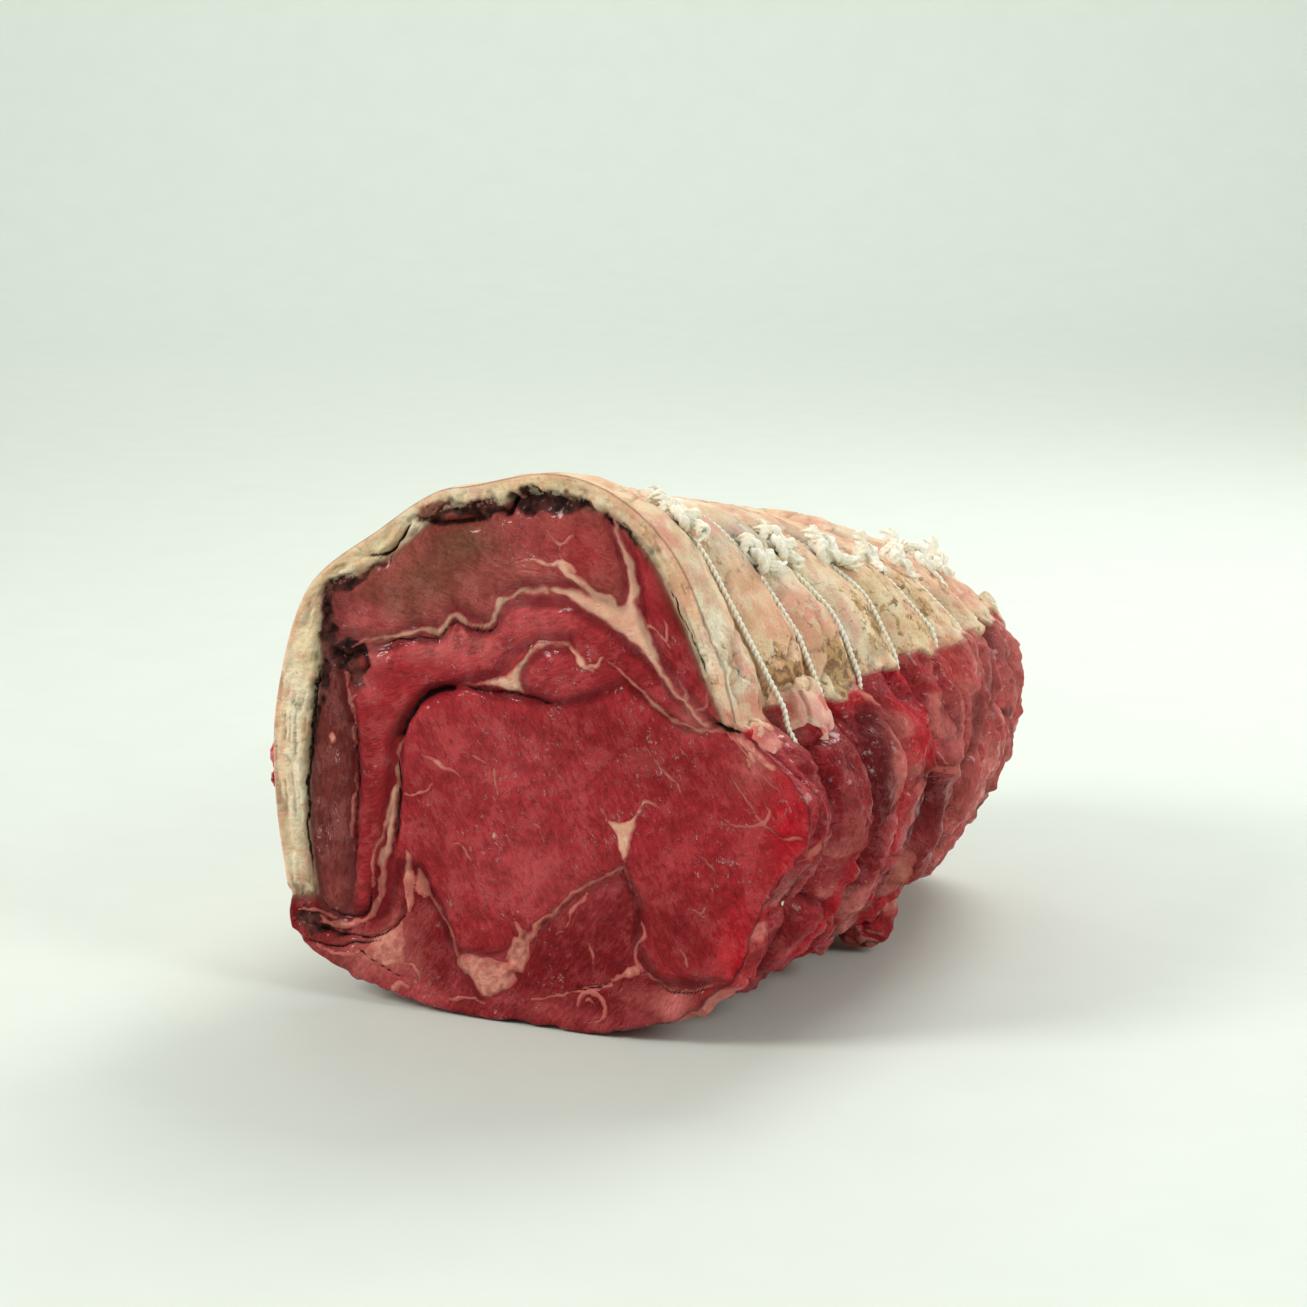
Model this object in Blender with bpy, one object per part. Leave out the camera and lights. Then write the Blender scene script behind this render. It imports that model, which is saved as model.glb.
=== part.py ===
# Boned and rolled rib joint of beef, tied round with butcher's string.
# The cut face looks along -Y, the long axis is Y, and the joint rests on Z = 0.
# Sections are drawn in millimetres, X across and Z up, and are scaled at the end.

import math

import bmesh
import bpy
import numpy as np
from mathutils import Vector, noise

MM = 0.001

# Size of the joint
LENGTH = 214.0
CENTRE = (0.0, 75.0)

# String
STRING_WIDTH = 1.4
STRING_SIDES = 5
STRING_AT = (18.0, 42.0, 65.0, 88.0, 112.0, 136.0, 160.0, 184.0)
STRING_LIFT = 0.42
GROOVE_DEPTH = 2.2
SOFT_GROOVE, SOFT_ANGLE, SOFT_WIDTH = 3.0, -14.0, 26.0
GROOVE_FLOOR = 2.0
GROOVE_REACH = 6.0

# Knots
KNOT_ANGLE = (64.0, 50.0, 52.0, 46.0, 41.0, 38.0, 36.0, 33.0)
KNOT_RADIUS = 3.7
TAIL_SIDES = 4
KNOT_SPREAD = 3.4
KNOT_RISE = 3.6
TAIL_LENGTH = 7.0
TAIL_RADIUS = 1.5

# Gap left between two neighbouring pieces, half of it on each side
HALF_GAP = 0.24

# Rounded rim of the cut face
RIM = 1.4

# Ragged meat on the right side and the underside
RAGGED = 4.0
RAGGED_FROM, RAGGED_TO = -72.0, 12.0
LUMP_LENGTH = 13.0

# The joint has settled flat wherever its underside comes this near the board
SETTLED = 1.6

# Taper from the cut face to the far end. Each row holds the distance from the face,
# how far the section has turned into an oval, the oval's half width, its top,
# its underside and its shift to the right.
TAPER = (
    (0, 0.0, 84.0, 152.0, 0.0, 0.0),
    (15, 0.45, 84.0, 149.0, 0.0, 0.0),
    (35, 0.8, 84.5, 146.0, 0.0, 0.0),
    (62, 0.92, 85.0, 141.5, 0.0, 0.0),
    (92, 0.97, 85.0, 136.5, 0.0, 0.0),
    (122, 1.0, 84.0, 131.0, 0.0, 0.0),
    (152, 1.0, 81.5, 126.0, 0.0, 0.0),
    (180, 1.0, 76.5, 119.0, 0.5, 0.0),
    (198, 1.0, 70.5, 111.5, 1.5, 1.0),
    (208, 1.0, 64.0, 104.0, 5.0, 4.0),
    (214, 1.0, 56.0, 96.0, 10.0, 8.0),
)
OVAL_TOP, OVAL_UNDER = 2.0, 2.35
SHOULDER_ANGLE, SHOULDER_WIDTH, SHOULDER_END = 42.0, 42.0, 110.0
WAIST_ANGLE, WAIST_WIDTH, WAIST_END = 12.0, 26.0, 140.0

# Outside of the section at the cut face, counter-clockwise from the step on the right
FAT_OUTSIDE = ((58.5, 93), (53, 110), (41, 136), (24, 151.5), (4, 157), (-20, 152.5),
               (-33, 149.5), (-50, 138.5), (-74, 120), (-85, 88), (-86.5, 60), (-83, 31))
UNDERSIDE = ((-83, 29.5), (-81, 18), (-66, 8.5), (-42, 2), (-22, 0), (-4, 0), (16, 0),
             (34, 5), (48, 12), (57, 19))
RIGHT_SIDE = ((57, 19), (61, 27), (65, 39), (72, 51), (80, 64), (78, 76), (69, 86), (60.5, 91.3))

# Lines between the muscles and the fat at the cut face
FAT_INSIDE_RIGHT = ((54.5, 93), (49, 105), (41, 122), (31, 138), (22, 146))
FAT_INSIDE_TOP = ((19, 147.5), (2, 151), (-14, 147), (-30, 144.5), (-43, 134), (-57, 125),
                  (-69, 119), (-69.5, 110))
FAT_INSIDE_LEFT = ((-69.5, 110), (-70, 98), (-74, 76), (-75.5, 50), (-72.5, 31))
SEAM_TOP = ((-66, 108), (-51, 107.6), (-40, 111.7), (-31.5, 112.6), (-26.5, 117.8), (-19, 115),
            (-14, 116.4), (-9, 123.4), (2, 126.2), (12, 126.2), (25, 121.8))
BRANCH_LEFT = ((25, 121.8), (26.3, 130), (24, 139), (19, 147.5))
BRANCH_RIGHT = ((22, 146), (27.4, 138), (30, 127), (31.5, 117.5), (37, 108.5), (44, 100), (51.5, 92.6))
SEAM_UNDER = ((50, 90.3), (42, 96.8), (34, 106), (20, 115.8), (8, 121), (-1, 121.6), (-9, 120.2),
              (-14, 113.4), (-19, 112.2), (-26.5, 114.8), (-31.5, 109.4), (-40, 108.6), (-51, 104.8), (-65, 105.2))
CAP_LEFT = ((-65, 105.2), (-62, 95), (-59.5, 82), (-59, 62), (-60.5, 42), (-61, 28))
STRIP_LEFT = ((-54, 27), (-52.7, 38), (-49.5, 54), (-48, 68), (-46.5, 80))
STRIP_RIGHT = ((-44.6, 80), (-45.2, 67), (-46.3, 54), (-48.5, 42), (-50, 28.5))
CAP_UNDER_LEFT = ((-46.5, 80), (-43, 86), (-36, 92.6), (-25, 96.8))
WEDGE_TOP = ((-25, 96.8), (-14, 100), (-9, 105.5), (0, 111.4), (9, 111.6))
WEDGE_UNDER = ((9, 109.6), (1, 108.4), (-4.5, 104), (-6, 98.5), (-3, 94.6))
CREVICE = ((-25, 96.8), (-13, 95.2), (-3, 94.6))
CAP_UNDER_RIGHT = ((-3, 94.6), (6, 93.6), (15, 96), (26, 101.2), (35, 95.4), (44, 90), (50, 90.3))
EYE_UNDER_LEFT = ((-50, 28.5), (-46, 42.5), (-39, 42), (-32, 30), (-27, 18.6))
EYE_UNDER_MID = ((-27, 18.6), (-13, 19.8), (-5, 24.8))
EYE_UNDER_RIGHT = ((-5, 24.8), (3, 33), (14, 42), (25, 49), (30, 40), (29, 27), (36, 18.5), (57, 19))
LUMP_UNDER = ((-5, 24.8), (-6, 17.5), (-13, 9.5), (-20, 6.4), (-27, 18.6))
FLAP_UNDER = ((-72.5, 31), (-71, 24.5), (-65, 23), (-61, 28))

COLOURS = {
    "rib_eye": ((0.31, 0.032, 0.042, 1.0), 0.38),
    "cap_muscle": ((0.26, 0.024, 0.032, 1.0), 0.38),
    "top_muscle": ((0.16, 0.022, 0.024, 1.0), 0.42),
    "shoulder_muscle": ((0.22, 0.022, 0.028, 1.0), 0.4),
    "left_flap": ((0.09, 0.024, 0.022, 1.0), 0.5),
    "lower_muscle": ((0.24, 0.024, 0.032, 1.0), 0.38),
    "upper_seam_fat": ((0.68, 0.38, 0.27, 1.0), 0.42),
    "cap_seam_fat": ((0.66, 0.35, 0.25, 1.0), 0.42),
    "left_seam_fat": ((0.64, 0.33, 0.24, 1.0), 0.42),
    "lower_fat": ((0.68, 0.34, 0.26, 1.0), 0.42),
    "fat_cover": ((0.74, 0.6, 0.41, 1.0), 0.5),
    "string": ((0.78, 0.74, 0.62, 1.0), 0.9),
}


def clear_scene():
    for old in list(bpy.data.objects):
        bpy.data.objects.remove(old, do_unlink=True)


def smooth(x):
    x = min(max(x, 0.0), 1.0)
    return x * x * (3 - 2 * x)


def spline(points, count):
    """A curve through the points, as count points evenly spaced along it, ends included."""
    pts = [np.array(p, float) for p in points]
    pts = [2 * pts[0] - pts[1]] + pts + [2 * pts[-1] - pts[-2]]
    fine = []
    for a, b, c, d in zip(pts, pts[1:], pts[2:], pts[3:]):
        for t in np.linspace(0, 1, 12, endpoint=False):
            fine.append(0.5 * (2 * b + (c - a) * t + (2 * a - 5 * b + 4 * c - d) * t ** 2
                               + (3 * b - a - 3 * c + d) * t ** 3))
    fine.append(pts[-2])
    fine = np.array(fine)
    run = np.concatenate([[0], np.cumsum(np.linalg.norm(np.diff(fine, axis=0), axis=1))])
    at = np.linspace(0, run[-1], count)
    return np.stack([np.interp(at, run, fine[:, 0]), np.interp(at, run, fine[:, 1])], 1)


def corners(points):
    return np.array(points, float)


def back(points):
    return points[::-1]


class Outline:
    """The outside of the joint: its radius round the centre line, at any distance from the face."""

    def __init__(self, ring):
        rel = ring - np.array(CENTRE)
        angle = np.arctan2(rel[:, 1], rel[:, 0])
        order = np.argsort(angle)
        self.angle = np.concatenate([angle[order] - 2 * math.pi, angle[order], angle[order] + 2 * math.pi])
        self.radius = np.tile(np.hypot(rel[:, 0], rel[:, 1])[order], 3)
        self.rows = np.array(TAPER, float)

    def at_face(self, angle):
        return float(np.interp(angle, self.angle, self.radius))

    def at(self, y, angle):
        """Radius of the tapered section, and its shift in X."""
        turn, half, top, under, shift = (np.interp(y, self.rows[:, 0], self.rows[:, k]) for k in range(1, 6))
        up = math.sin(angle) > 0
        rise = top - CENTRE[1] if up else CENTRE[1] - under
        power = OVAL_TOP if up else OVAL_UNDER
        oval = ((abs(math.cos(angle)) / half) ** power + (abs(math.sin(angle)) / rise) ** power) ** (-1 / power)
        near = smooth(1 - abs(math.degrees(angle) - SHOULDER_ANGLE) / SHOULDER_WIDTH)
        turn *= 1 - 0.75 * near * smooth(1 - y / SHOULDER_END)
        waist = smooth(1 - abs(math.degrees(angle) - WAIST_ANGLE) / WAIST_WIDTH)
        turn *= 1 - 0.85 * waist * smooth(1 - y / WAIST_END)
        return self.at_face(angle) * (1 - turn) + oval * turn, shift * turn


def groove(y):
    """How deep a string has sunk in at this distance from the face, from 0 to 1."""
    reach = min(abs(y - s) for s in STRING_AT)
    return 1 - min(max((reach - GROOVE_FLOOR) / (GROOVE_REACH - GROOVE_FLOOR), 0.0), 1.0)


def groove_depth(angle):
    """A string sinks deeper into the soft bare meat on the right."""
    soft = smooth(1 - abs(math.degrees(angle) - SOFT_ANGLE) / SOFT_WIDTH)
    return GROOVE_DEPTH + SOFT_GROOVE * soft


def ragged(y, angle):
    """Loose folds of the meat on the right side and under the joint."""
    degrees = math.degrees(angle)
    inside = smooth((degrees - RAGGED_FROM) / 25) * smooth((RAGGED_TO - degrees) / 10)
    lump = noise.noise(Vector((y / LUMP_LENGTH, angle * 75 / LUMP_LENGTH, 3.7)))
    fold = noise.noise(Vector((y / LUMP_LENGTH * 2.2, angle * 60 / LUMP_LENGTH, 9.1)))
    return inside * RAGGED * (lump + 0.5 * fold) * smooth((y - 2) / 6) * smooth((LENGTH - y) / 12)


def place(outline, point, y, outer):
    """A point of the face section carried along the joint to distance y."""
    rel = np.array(point) - np.array(CENTRE)
    angle = math.atan2(rel[1], rel[0])
    radius, shift = outline.at(y, angle)
    share = float(np.hypot(*rel)) / outline.at_face(angle)
    reach = share * radius
    if outer:
        reach += ragged(y, angle) * (1 - groove(y)) - groove_depth(angle) * groove(y)
        reach -= RIM * (1 - min(y / RIM, 1.0))
    x = CENTRE[0] + shift + reach * math.cos(angle)
    z = CENTRE[1] + reach * math.sin(angle)
    if outer and z < SETTLED:
        z = 0.0
    return x, y - LENGTH / 2, z


def inset(points, outer):
    """The closed outline moved inwards by the half gap along its inner edges only."""
    count = len(points)
    edge_normal, edge_move = [], []
    for i in range(count):
        run = points[(i + 1) % count] - points[i]
        run = run / np.hypot(*run)
        edge_normal.append(np.array([-run[1], run[0]]))
        edge_move.append(0.0 if outer[i] and outer[(i + 1) % count] else HALF_GAP)
    moved = []
    for i in range(count):
        n1, n2, d1, d2 = edge_normal[i - 1], edge_normal[i], edge_move[i - 1], edge_move[i]
        cross = n1[0] * n2[1] - n1[1] * n2[0]
        if abs(cross) < 0.25:
            mean = (n1 + n2) / np.hypot(*(n1 + n2))
            moved.append(points[i] + mean * max(d1, d2))
            continue
        step = np.array([d1 * n2[1] - d2 * n1[1], n1[0] * d2 - n2[0] * d1]) / cross
        length = np.hypot(*step)
        moved.append(points[i] + step * min(1.0, 4 * HALF_GAP / length if length else 1.0))
    return moved


FINE = sorted({0.0, RIM, LENGTH, 194.0, 201.0, 208.0}
              | {s + d for s in STRING_AT for d in (-GROOVE_REACH, -GROOVE_FLOOR, GROOVE_FLOOR, GROOVE_REACH)})
COARSE = sorted(float(row[0]) for row in TAPER)


def add_object(name, mesh_data, slot):
    mesh = bpy.data.meshes.new(name)
    mesh_data.to_mesh(mesh)
    mesh_data.free()
    obj = bpy.data.objects.new(name, mesh)
    bpy.context.scene.collection.objects.link(obj)
    material = bpy.data.materials.get(slot) or bpy.data.materials.new(slot)
    material.use_nodes = True
    shader = material.node_tree.nodes["Principled BSDF"]
    colour, rough = COLOURS[slot]
    shader.inputs["Base Color"].default_value = colour
    shader.inputs["Roughness"].default_value = rough
    shader.inputs["Metallic"].default_value = 0.0
    mesh.materials.append(material)
    return obj


def on_coarse(outline, point, y):
    """Between two rows of the taper an inner point runs straight, so neighbours never meet."""
    at = next(i for i in range(1, len(COARSE)) if y <= COARSE[i])
    a, b = COARSE[at - 1], COARSE[at]
    start, end = (np.array(place(outline, point, v, False)) for v in (a, b))
    return tuple(start + (end - start) * (y - a) / (b - a))


def run_through(outline, name, pieces):
    """A solid that runs the whole length: pieces is a list of (points, on the outside)."""
    points, outer = [], []
    for line, outside in pieces:
        for p in line:
            if points and np.hypot(*(p - points[-1])) < 0.05:
                outer[-1] = outer[-1] or outside
                continue
            points.append(np.array(p, float))
            outer.append(outside)
    if np.hypot(*(points[0] - points[-1])) < 0.05:
        outer[0] = outer[0] or outer[-1]
        points.pop()
        outer.pop()
    area = sum(a[0] * b[1] - b[0] * a[1] for a, b in zip(points, points[1:] + points[:1]))
    if area < 0:
        points.reverse()
        outer.reverse()
    moved = inset(points, outer)
    bm = bmesh.new()
    columns = []
    for p, outside in zip(moved, outer):
        rows = FINE if outside else COARSE
        spots = [place(outline, p, y, True) if outside else on_coarse(outline, p, y) for y in rows]
        columns.append((rows, [bm.verts.new(Vector(s) * MM) for s in spots]))
    rank = [p[0] + p[1] for p in points]
    for n, (rows_a, a) in enumerate(columns):
        m = (n + 1) % len(columns)
        rows_b, b = columns[m]
        i = j = 0
        while i < len(a) - 1 or j < len(b) - 1:
            if rows_a == rows_b:
                # Both neighbours split a wall along the same diagonal.
                cut = ((a[i], b[j], b[j + 1]), (a[i], b[j + 1], a[i + 1]))
                if rank[n] > rank[m]:
                    cut = ((a[i], b[j], a[i + 1]), (b[j], b[j + 1], a[i + 1]))
                for three in cut:
                    bm.faces.new(three)
                i, j = i + 1, j + 1
            elif j == len(b) - 1 or (i < len(a) - 1 and (rows_a[i + 1], rank[n]) < (rows_b[j + 1], rank[m])):
                bm.faces.new((a[i], b[j], a[i + 1]))
                i += 1
            else:
                bm.faces.new((a[i], b[j], b[j + 1]))
                j += 1
    bm.faces.new([column[0] for _, column in reversed(columns)])
    bm.faces.new([column[-1] for _, column in columns])
    ends = [face for face in bm.faces if len(face.verts) > 3]
    bmesh.ops.triangulate(bm, faces=ends, ngon_method="BEAUTY")
    bmesh.ops.recalc_face_normals(bm, faces=bm.faces[:])
    return add_object(name, bm, name)


def taut(flat):
    """The points that a tight loop touches, counter-clockwise."""
    flat = sorted(tuple(p) for p in flat)
    sides = []
    for run in (flat, flat[::-1]):
        side = []
        for p in run:
            while len(side) > 1 and ((side[-1][0] - side[-2][0]) * (p[1] - side[-2][1])
                                     - (side[-1][1] - side[-2][1]) * (p[0] - side[-2][0])) <= 0:
                side.pop()
            side.append(p)
        sides += side[:-1]
    return np.array(sides)


def string_path(outline, ring, y):
    """Closed path of one loop of string, pulled tight in its groove."""
    spots = np.array([place(outline, p, y, True) for p in ring])
    tight = taut(spots[:, [0, 2]])
    flat = [p for p, q in zip(tight, np.roll(tight, 1, axis=0)) if np.hypot(*(p - q)) > 0.6]
    out = []
    for i in range(len(flat)):
        run = flat[(i + 1) % len(flat)] - flat[i - 1]
        run = run / np.hypot(*run)
        normal = np.array([run[1], -run[0]])
        out.append((flat[i] + normal * (STRING_WIDTH / 2 + STRING_LIFT), normal))
    return out


def closed_tube(bm, path, y):
    rings = []
    for spot, normal in path:
        ring = []
        for k in range(STRING_SIDES):
            turn = 2 * math.pi * k / STRING_SIDES
            side = STRING_WIDTH / 2 * math.cos(turn)
            ring.append(bm.verts.new(Vector((spot[0] + normal[0] * side,
                                             y - LENGTH / 2 + STRING_WIDTH / 2 * math.sin(turn),
                                             spot[1] + normal[1] * side)) * MM))
        rings.append(ring)
    for a, b in zip(rings, rings[1:] + rings[:1]):
        for k in range(STRING_SIDES):
            n = (k + 1) % STRING_SIDES
            bm.faces.new((a[k], a[n], b[n], b[k]))


def loose_piece(group, name, build):
    bm = bmesh.new()
    build(bm)
    bmesh.ops.recalc_face_normals(bm, faces=bm.faces[:])
    mesh = bpy.data.meshes.new(name)
    bm.to_mesh(mesh)
    bm.free()
    obj = bpy.data.objects.new(name, mesh)
    group.objects.link(obj)


def ball(bm, centre, radius, squash, detail):
    made = bmesh.ops.create_icosphere(bm, subdivisions=detail, radius=1.0)
    for vert in made["verts"]:
        rough = 1 + 0.12 * noise.noise(vert.co * 2.3 + centre * 400)
        vert.co = centre + vert.co * radius * rough * MM
        vert.co.y = centre.y + (vert.co.y - centre.y) * squash


def tail(bm, start, end, radius):
    way = (end - start).normalized()
    side = way.cross(Vector((0, 0, 1))).normalized()
    other = way.cross(side)
    rings = []
    for spot, width in ((start, 1.0), (end, 0.9)):
        rings.append([bm.verts.new(spot + (side * math.cos(a) + other * math.sin(a)) * radius * width * MM)
                      for a in (2 * math.pi / TAIL_SIDES * k for k in range(TAIL_SIDES))])
    for a, b in zip(rings, rings[1:]):
        for k in range(TAIL_SIDES):
            n = (k + 1) % TAIL_SIDES
            bm.faces.new((a[k], a[n], b[n], b[k]))
    bm.faces.new(rings[0])
    bm.faces.new(rings[-1])


def tie(outline, ring, number):
    """One loop of string with its knot: a double lump and two short frayed tails."""
    y = STRING_AT[number]
    path = string_path(outline, ring, y)
    aim = math.radians(KNOT_ANGLE[number])
    at = min(range(len(path)), key=lambda i: abs(
        math.atan2(path[i][0][1] - CENTRE[1], path[i][0][0] - CENTRE[0]) - aim))
    spot, normal = path[at]
    base = Vector((spot[0], y - LENGTH / 2, spot[1])) * MM
    out = Vector((normal[0], 0, normal[1]))
    along = Vector((normal[1], 0, -normal[0]))
    lean = Vector((0, 1, 0)) * (1 if number % 2 else -1)
    top = base + out * KNOT_RISE * MM

    bm = bmesh.new()
    closed_tube(bm, path, y)
    bmesh.ops.triangulate(bm, faces=bm.faces[:])
    bmesh.ops.recalc_face_normals(bm, faces=bm.faces[:])
    obj = add_object(f"string_{number + 1}", bm, "string")

    group = bpy.data.collections.new("knot")
    bpy.context.scene.collection.children.link(group)
    loose_piece(group, "lump", lambda bm: ball(bm, top + along * KNOT_SPREAD * MM, KNOT_RADIUS, 1.1, 2))
    loose_piece(group, "lump", lambda bm: ball(bm, top - along * KNOT_SPREAD * MM, KNOT_RADIUS * 1.05, 1.15, 1))
    loose_piece(group, "tail", lambda bm: tail(
        bm, top, top + (out * 0.8 + lean * 0.6 - along * 0.5).normalized() * TAIL_LENGTH * MM, TAIL_RADIUS))
    loose_piece(group, "tail", lambda bm: tail(
        bm, top, top + (along * 1.1 + out * 0.35 - lean * 0.5).normalized() * TAIL_LENGTH * MM, TAIL_RADIUS))
    union = obj.modifiers.new("knot", "BOOLEAN")
    union.operation = "UNION"
    union.operand_type = "COLLECTION"
    union.collection = group
    union.solver = "EXACT"
    bpy.context.view_layer.objects.active = obj
    bpy.ops.object.modifier_apply(modifier=union.name)
    for piece in list(group.objects):
        bpy.data.objects.remove(piece, do_unlink=True)
    bpy.data.collections.remove(group)


def build():
    clear_scene()
    fat_out = spline(FAT_OUTSIDE, 21)
    underside = corners(UNDERSIDE)
    right_side = spline(RIGHT_SIDE, 9)
    outline = Outline(np.concatenate([fat_out, underside, right_side[1:]]))
    inside_right = spline(FAT_INSIDE_RIGHT, 5)
    inside_top = spline(FAT_INSIDE_TOP, 12)
    inside_left = spline(FAT_INSIDE_LEFT, 6)
    seam_top, seam_under = spline(SEAM_TOP, 17), spline(SEAM_UNDER, 19)
    branch_left, branch_right = corners(BRANCH_LEFT), corners(BRANCH_RIGHT)
    cap_left, strip_left, strip_right = corners(CAP_LEFT), corners(STRIP_LEFT), corners(STRIP_RIGHT)
    cap_under_left, cap_under_right = corners(CAP_UNDER_LEFT), corners(CAP_UNDER_RIGHT)
    wedge_top, wedge_under, crevice = corners(WEDGE_TOP), corners(WEDGE_UNDER), corners(CREVICE)
    eye_left, eye_mid, eye_right = corners(EYE_UNDER_LEFT), corners(EYE_UNDER_MID), corners(EYE_UNDER_RIGHT)
    lump_under, flap_under = corners(LUMP_UNDER), corners(FLAP_UNDER)

    run_through(outline, "fat_cover", [
        (fat_out, True), (back(inside_left), False), (back(inside_top), False), (back(inside_right), False)])
    run_through(outline, "upper_seam_fat", [
        (seam_top, False), (branch_left, False), (branch_right, False), (seam_under, False)])
    run_through(outline, "top_muscle", [
        (inside_top, False), (seam_top, False), (branch_left, False)])
    run_through(outline, "shoulder_muscle", [(inside_right, False), (branch_right, False)])
    run_through(outline, "cap_muscle", [
        (seam_under, False), (cap_left, False), (strip_left, False), (cap_under_left, False),
        (wedge_top, False), (wedge_under, False), (cap_under_right, False)])
    run_through(outline, "cap_seam_fat", [(wedge_top, False), (wedge_under, False), (back(crevice), False)])
    run_through(outline, "left_seam_fat", [(strip_left, False), (strip_right, False)])
    run_through(outline, "left_flap", [
        (inside_left, False), (flap_under, False), (back(cap_left), False), (seam_top[:1], False)])
    run_through(outline, "lower_fat", [(eye_mid, False), (lump_under, False)])
    run_through(outline, "rib_eye", [
        (right_side, True), (inside_right[:1] - np.array([0, 1.7]), False), (back(cap_under_right), False),
        (back(crevice), False), (back(cap_under_left), False), (strip_right, False),
        (eye_left, False), (eye_mid, False), (eye_right, False)])
    run_through(outline, "lower_muscle", [
        (underside, True), (back(eye_right), False), (lump_under, False), (back(eye_left), False),
        (strip_left[:1], False), (back(flap_under), False)])

    ring = np.concatenate([fat_out, underside, right_side[1:]])
    for number in range(len(STRING_AT)):
        tie(outline, ring, number)


build()
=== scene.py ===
import math

import bpy
import numpy as np
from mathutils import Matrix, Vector


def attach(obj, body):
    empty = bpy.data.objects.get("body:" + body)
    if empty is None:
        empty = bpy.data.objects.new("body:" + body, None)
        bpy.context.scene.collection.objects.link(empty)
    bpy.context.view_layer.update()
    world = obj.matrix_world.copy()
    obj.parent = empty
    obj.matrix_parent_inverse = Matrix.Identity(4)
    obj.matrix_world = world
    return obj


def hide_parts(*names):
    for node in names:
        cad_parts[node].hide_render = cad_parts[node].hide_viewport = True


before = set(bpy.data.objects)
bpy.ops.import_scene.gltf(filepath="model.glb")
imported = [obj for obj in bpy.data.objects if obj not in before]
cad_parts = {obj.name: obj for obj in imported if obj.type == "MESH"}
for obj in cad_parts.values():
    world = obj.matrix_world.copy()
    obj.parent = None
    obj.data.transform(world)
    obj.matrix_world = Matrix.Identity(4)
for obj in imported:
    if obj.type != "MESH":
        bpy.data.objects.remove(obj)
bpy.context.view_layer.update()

# Camera, at the photograph's angle
eye = bpy.data.objects.new("camera", bpy.data.cameras.new("camera"))
bpy.context.scene.collection.objects.link(eye)
eye.location = (0.36639, -0.82608, 0.26212)
eye.rotation_euler = (math.radians(90 - 10.881), 0, math.radians(24.778))
eye.data.sensor_width = 36
eye.data.lens = 82.63
eye.data.clip_end = 50
bpy.context.scene.camera = eye
bpy.context.scene.view_settings.view_transform = "Standard"

# Shape of the whole joint, in millimetres.
# It is a roll of muscles that tapers from its cut face to an oval far end. The points below
# follow the outside and the seams at the cut face, and carry() takes any of them along the joint.
LENGTH = 214.0
CENTRE = np.array([0.0, 75.0])
# Distance from the face, share of the oval, its half width, its top and underside, and its shift
TAPER = np.array([
    (0, 0.0, 84.0, 152.0, 0.0, 0.0), (15, 0.45, 84.0, 149.0, 0.0, 0.0), (35, 0.8, 84.5, 146.0, 0.0, 0.0),
    (62, 0.92, 85.0, 141.5, 0.0, 0.0), (92, 0.97, 85.0, 136.5, 0.0, 0.0), (122, 1.0, 84.0, 131.0, 0.0, 0.0),
    (152, 1.0, 81.5, 126.0, 0.0, 0.0), (180, 1.0, 76.5, 119.0, 0.5, 0.0), (198, 1.0, 70.5, 111.5, 1.5, 1.0),
    (208, 1.0, 64.0, 104.0, 5.0, 4.0), (214, 1.0, 56.0, 96.0, 10.0, 8.0)], float)
STRINGS = (18.0, 42.0, 65.0, 88.0, 112.0, 136.0, 160.0, 184.0)

# Outlines and seams at the cut face, as X and Z
FAT_OUTSIDE = ((58.5, 93), (53, 110), (41, 136), (24, 151.5), (4, 157), (-20, 152.5), (-33, 149.5),
               (-50, 138.5), (-74, 120), (-85, 88), (-86.5, 60), (-83, 31))
UNDERSIDE = ((-83, 31), (-81, 18), (-66, 8.5), (-42, 2), (-22, 0), (-4, 0), (16, 0), (34, 5), (48, 12),
             (57, 19))
RIGHT_SIDE = ((57, 19), (61, 27), (65, 39), (72, 51), (80, 64), (78, 76), (69, 86), (60.5, 91.3))
FAT_INSIDE = ((54.5, 93), (49, 105), (41, 122), (31, 138), (22, 146), (19, 147.5), (2, 151), (-14, 147),
              (-30, 144.5), (-43, 134), (-57, 125), (-69, 119), (-69.5, 110), (-70, 98), (-74, 76),
              (-75.5, 50), (-72.5, 31))
SEAM_TOP = ((-66, 108), (-51, 107.6), (-40, 111.7), (-31.5, 112.6), (-26.5, 117.8), (-19, 115),
            (-14, 116.4), (-9, 123.4), (2, 126.2), (12, 126.2), (25, 121.8))
BRANCH_LEFT = ((25, 121.8), (26.3, 130), (24, 139), (19, 147.5))
BRANCH_RIGHT = ((22, 146), (27.4, 138), (30, 127), (31.5, 117.5), (37, 108.5), (44, 100), (51.5, 92.6))
SEAM_UNDER = ((50, 90.3), (42, 96.8), (34, 106), (20, 115.8), (8, 121), (-1, 121.6), (-9, 120.2),
              (-14, 113.4), (-19, 112.2), (-26.5, 114.8), (-31.5, 109.4), (-40, 108.6), (-51, 104.8),
              (-65, 105.2))
CAP_LEFT = ((-65, 105.2), (-62, 95), (-59.5, 82), (-59, 62), (-60.5, 42), (-61, 28))
STRIP_LEFT = ((-54, 27), (-52.7, 38), (-49.5, 54), (-48, 68), (-46.5, 80))
STRIP_RIGHT = ((-44.6, 80), (-45.2, 67), (-46.3, 54), (-48.5, 42), (-50, 28.5))
CAP_UNDER_LEFT = ((-46.5, 80), (-43, 86), (-36, 92.6), (-25, 96.8))
WEDGE_TOP = ((-25, 96.8), (-14, 100), (-9, 105.5), (0, 111.4), (9, 111.6))
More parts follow.
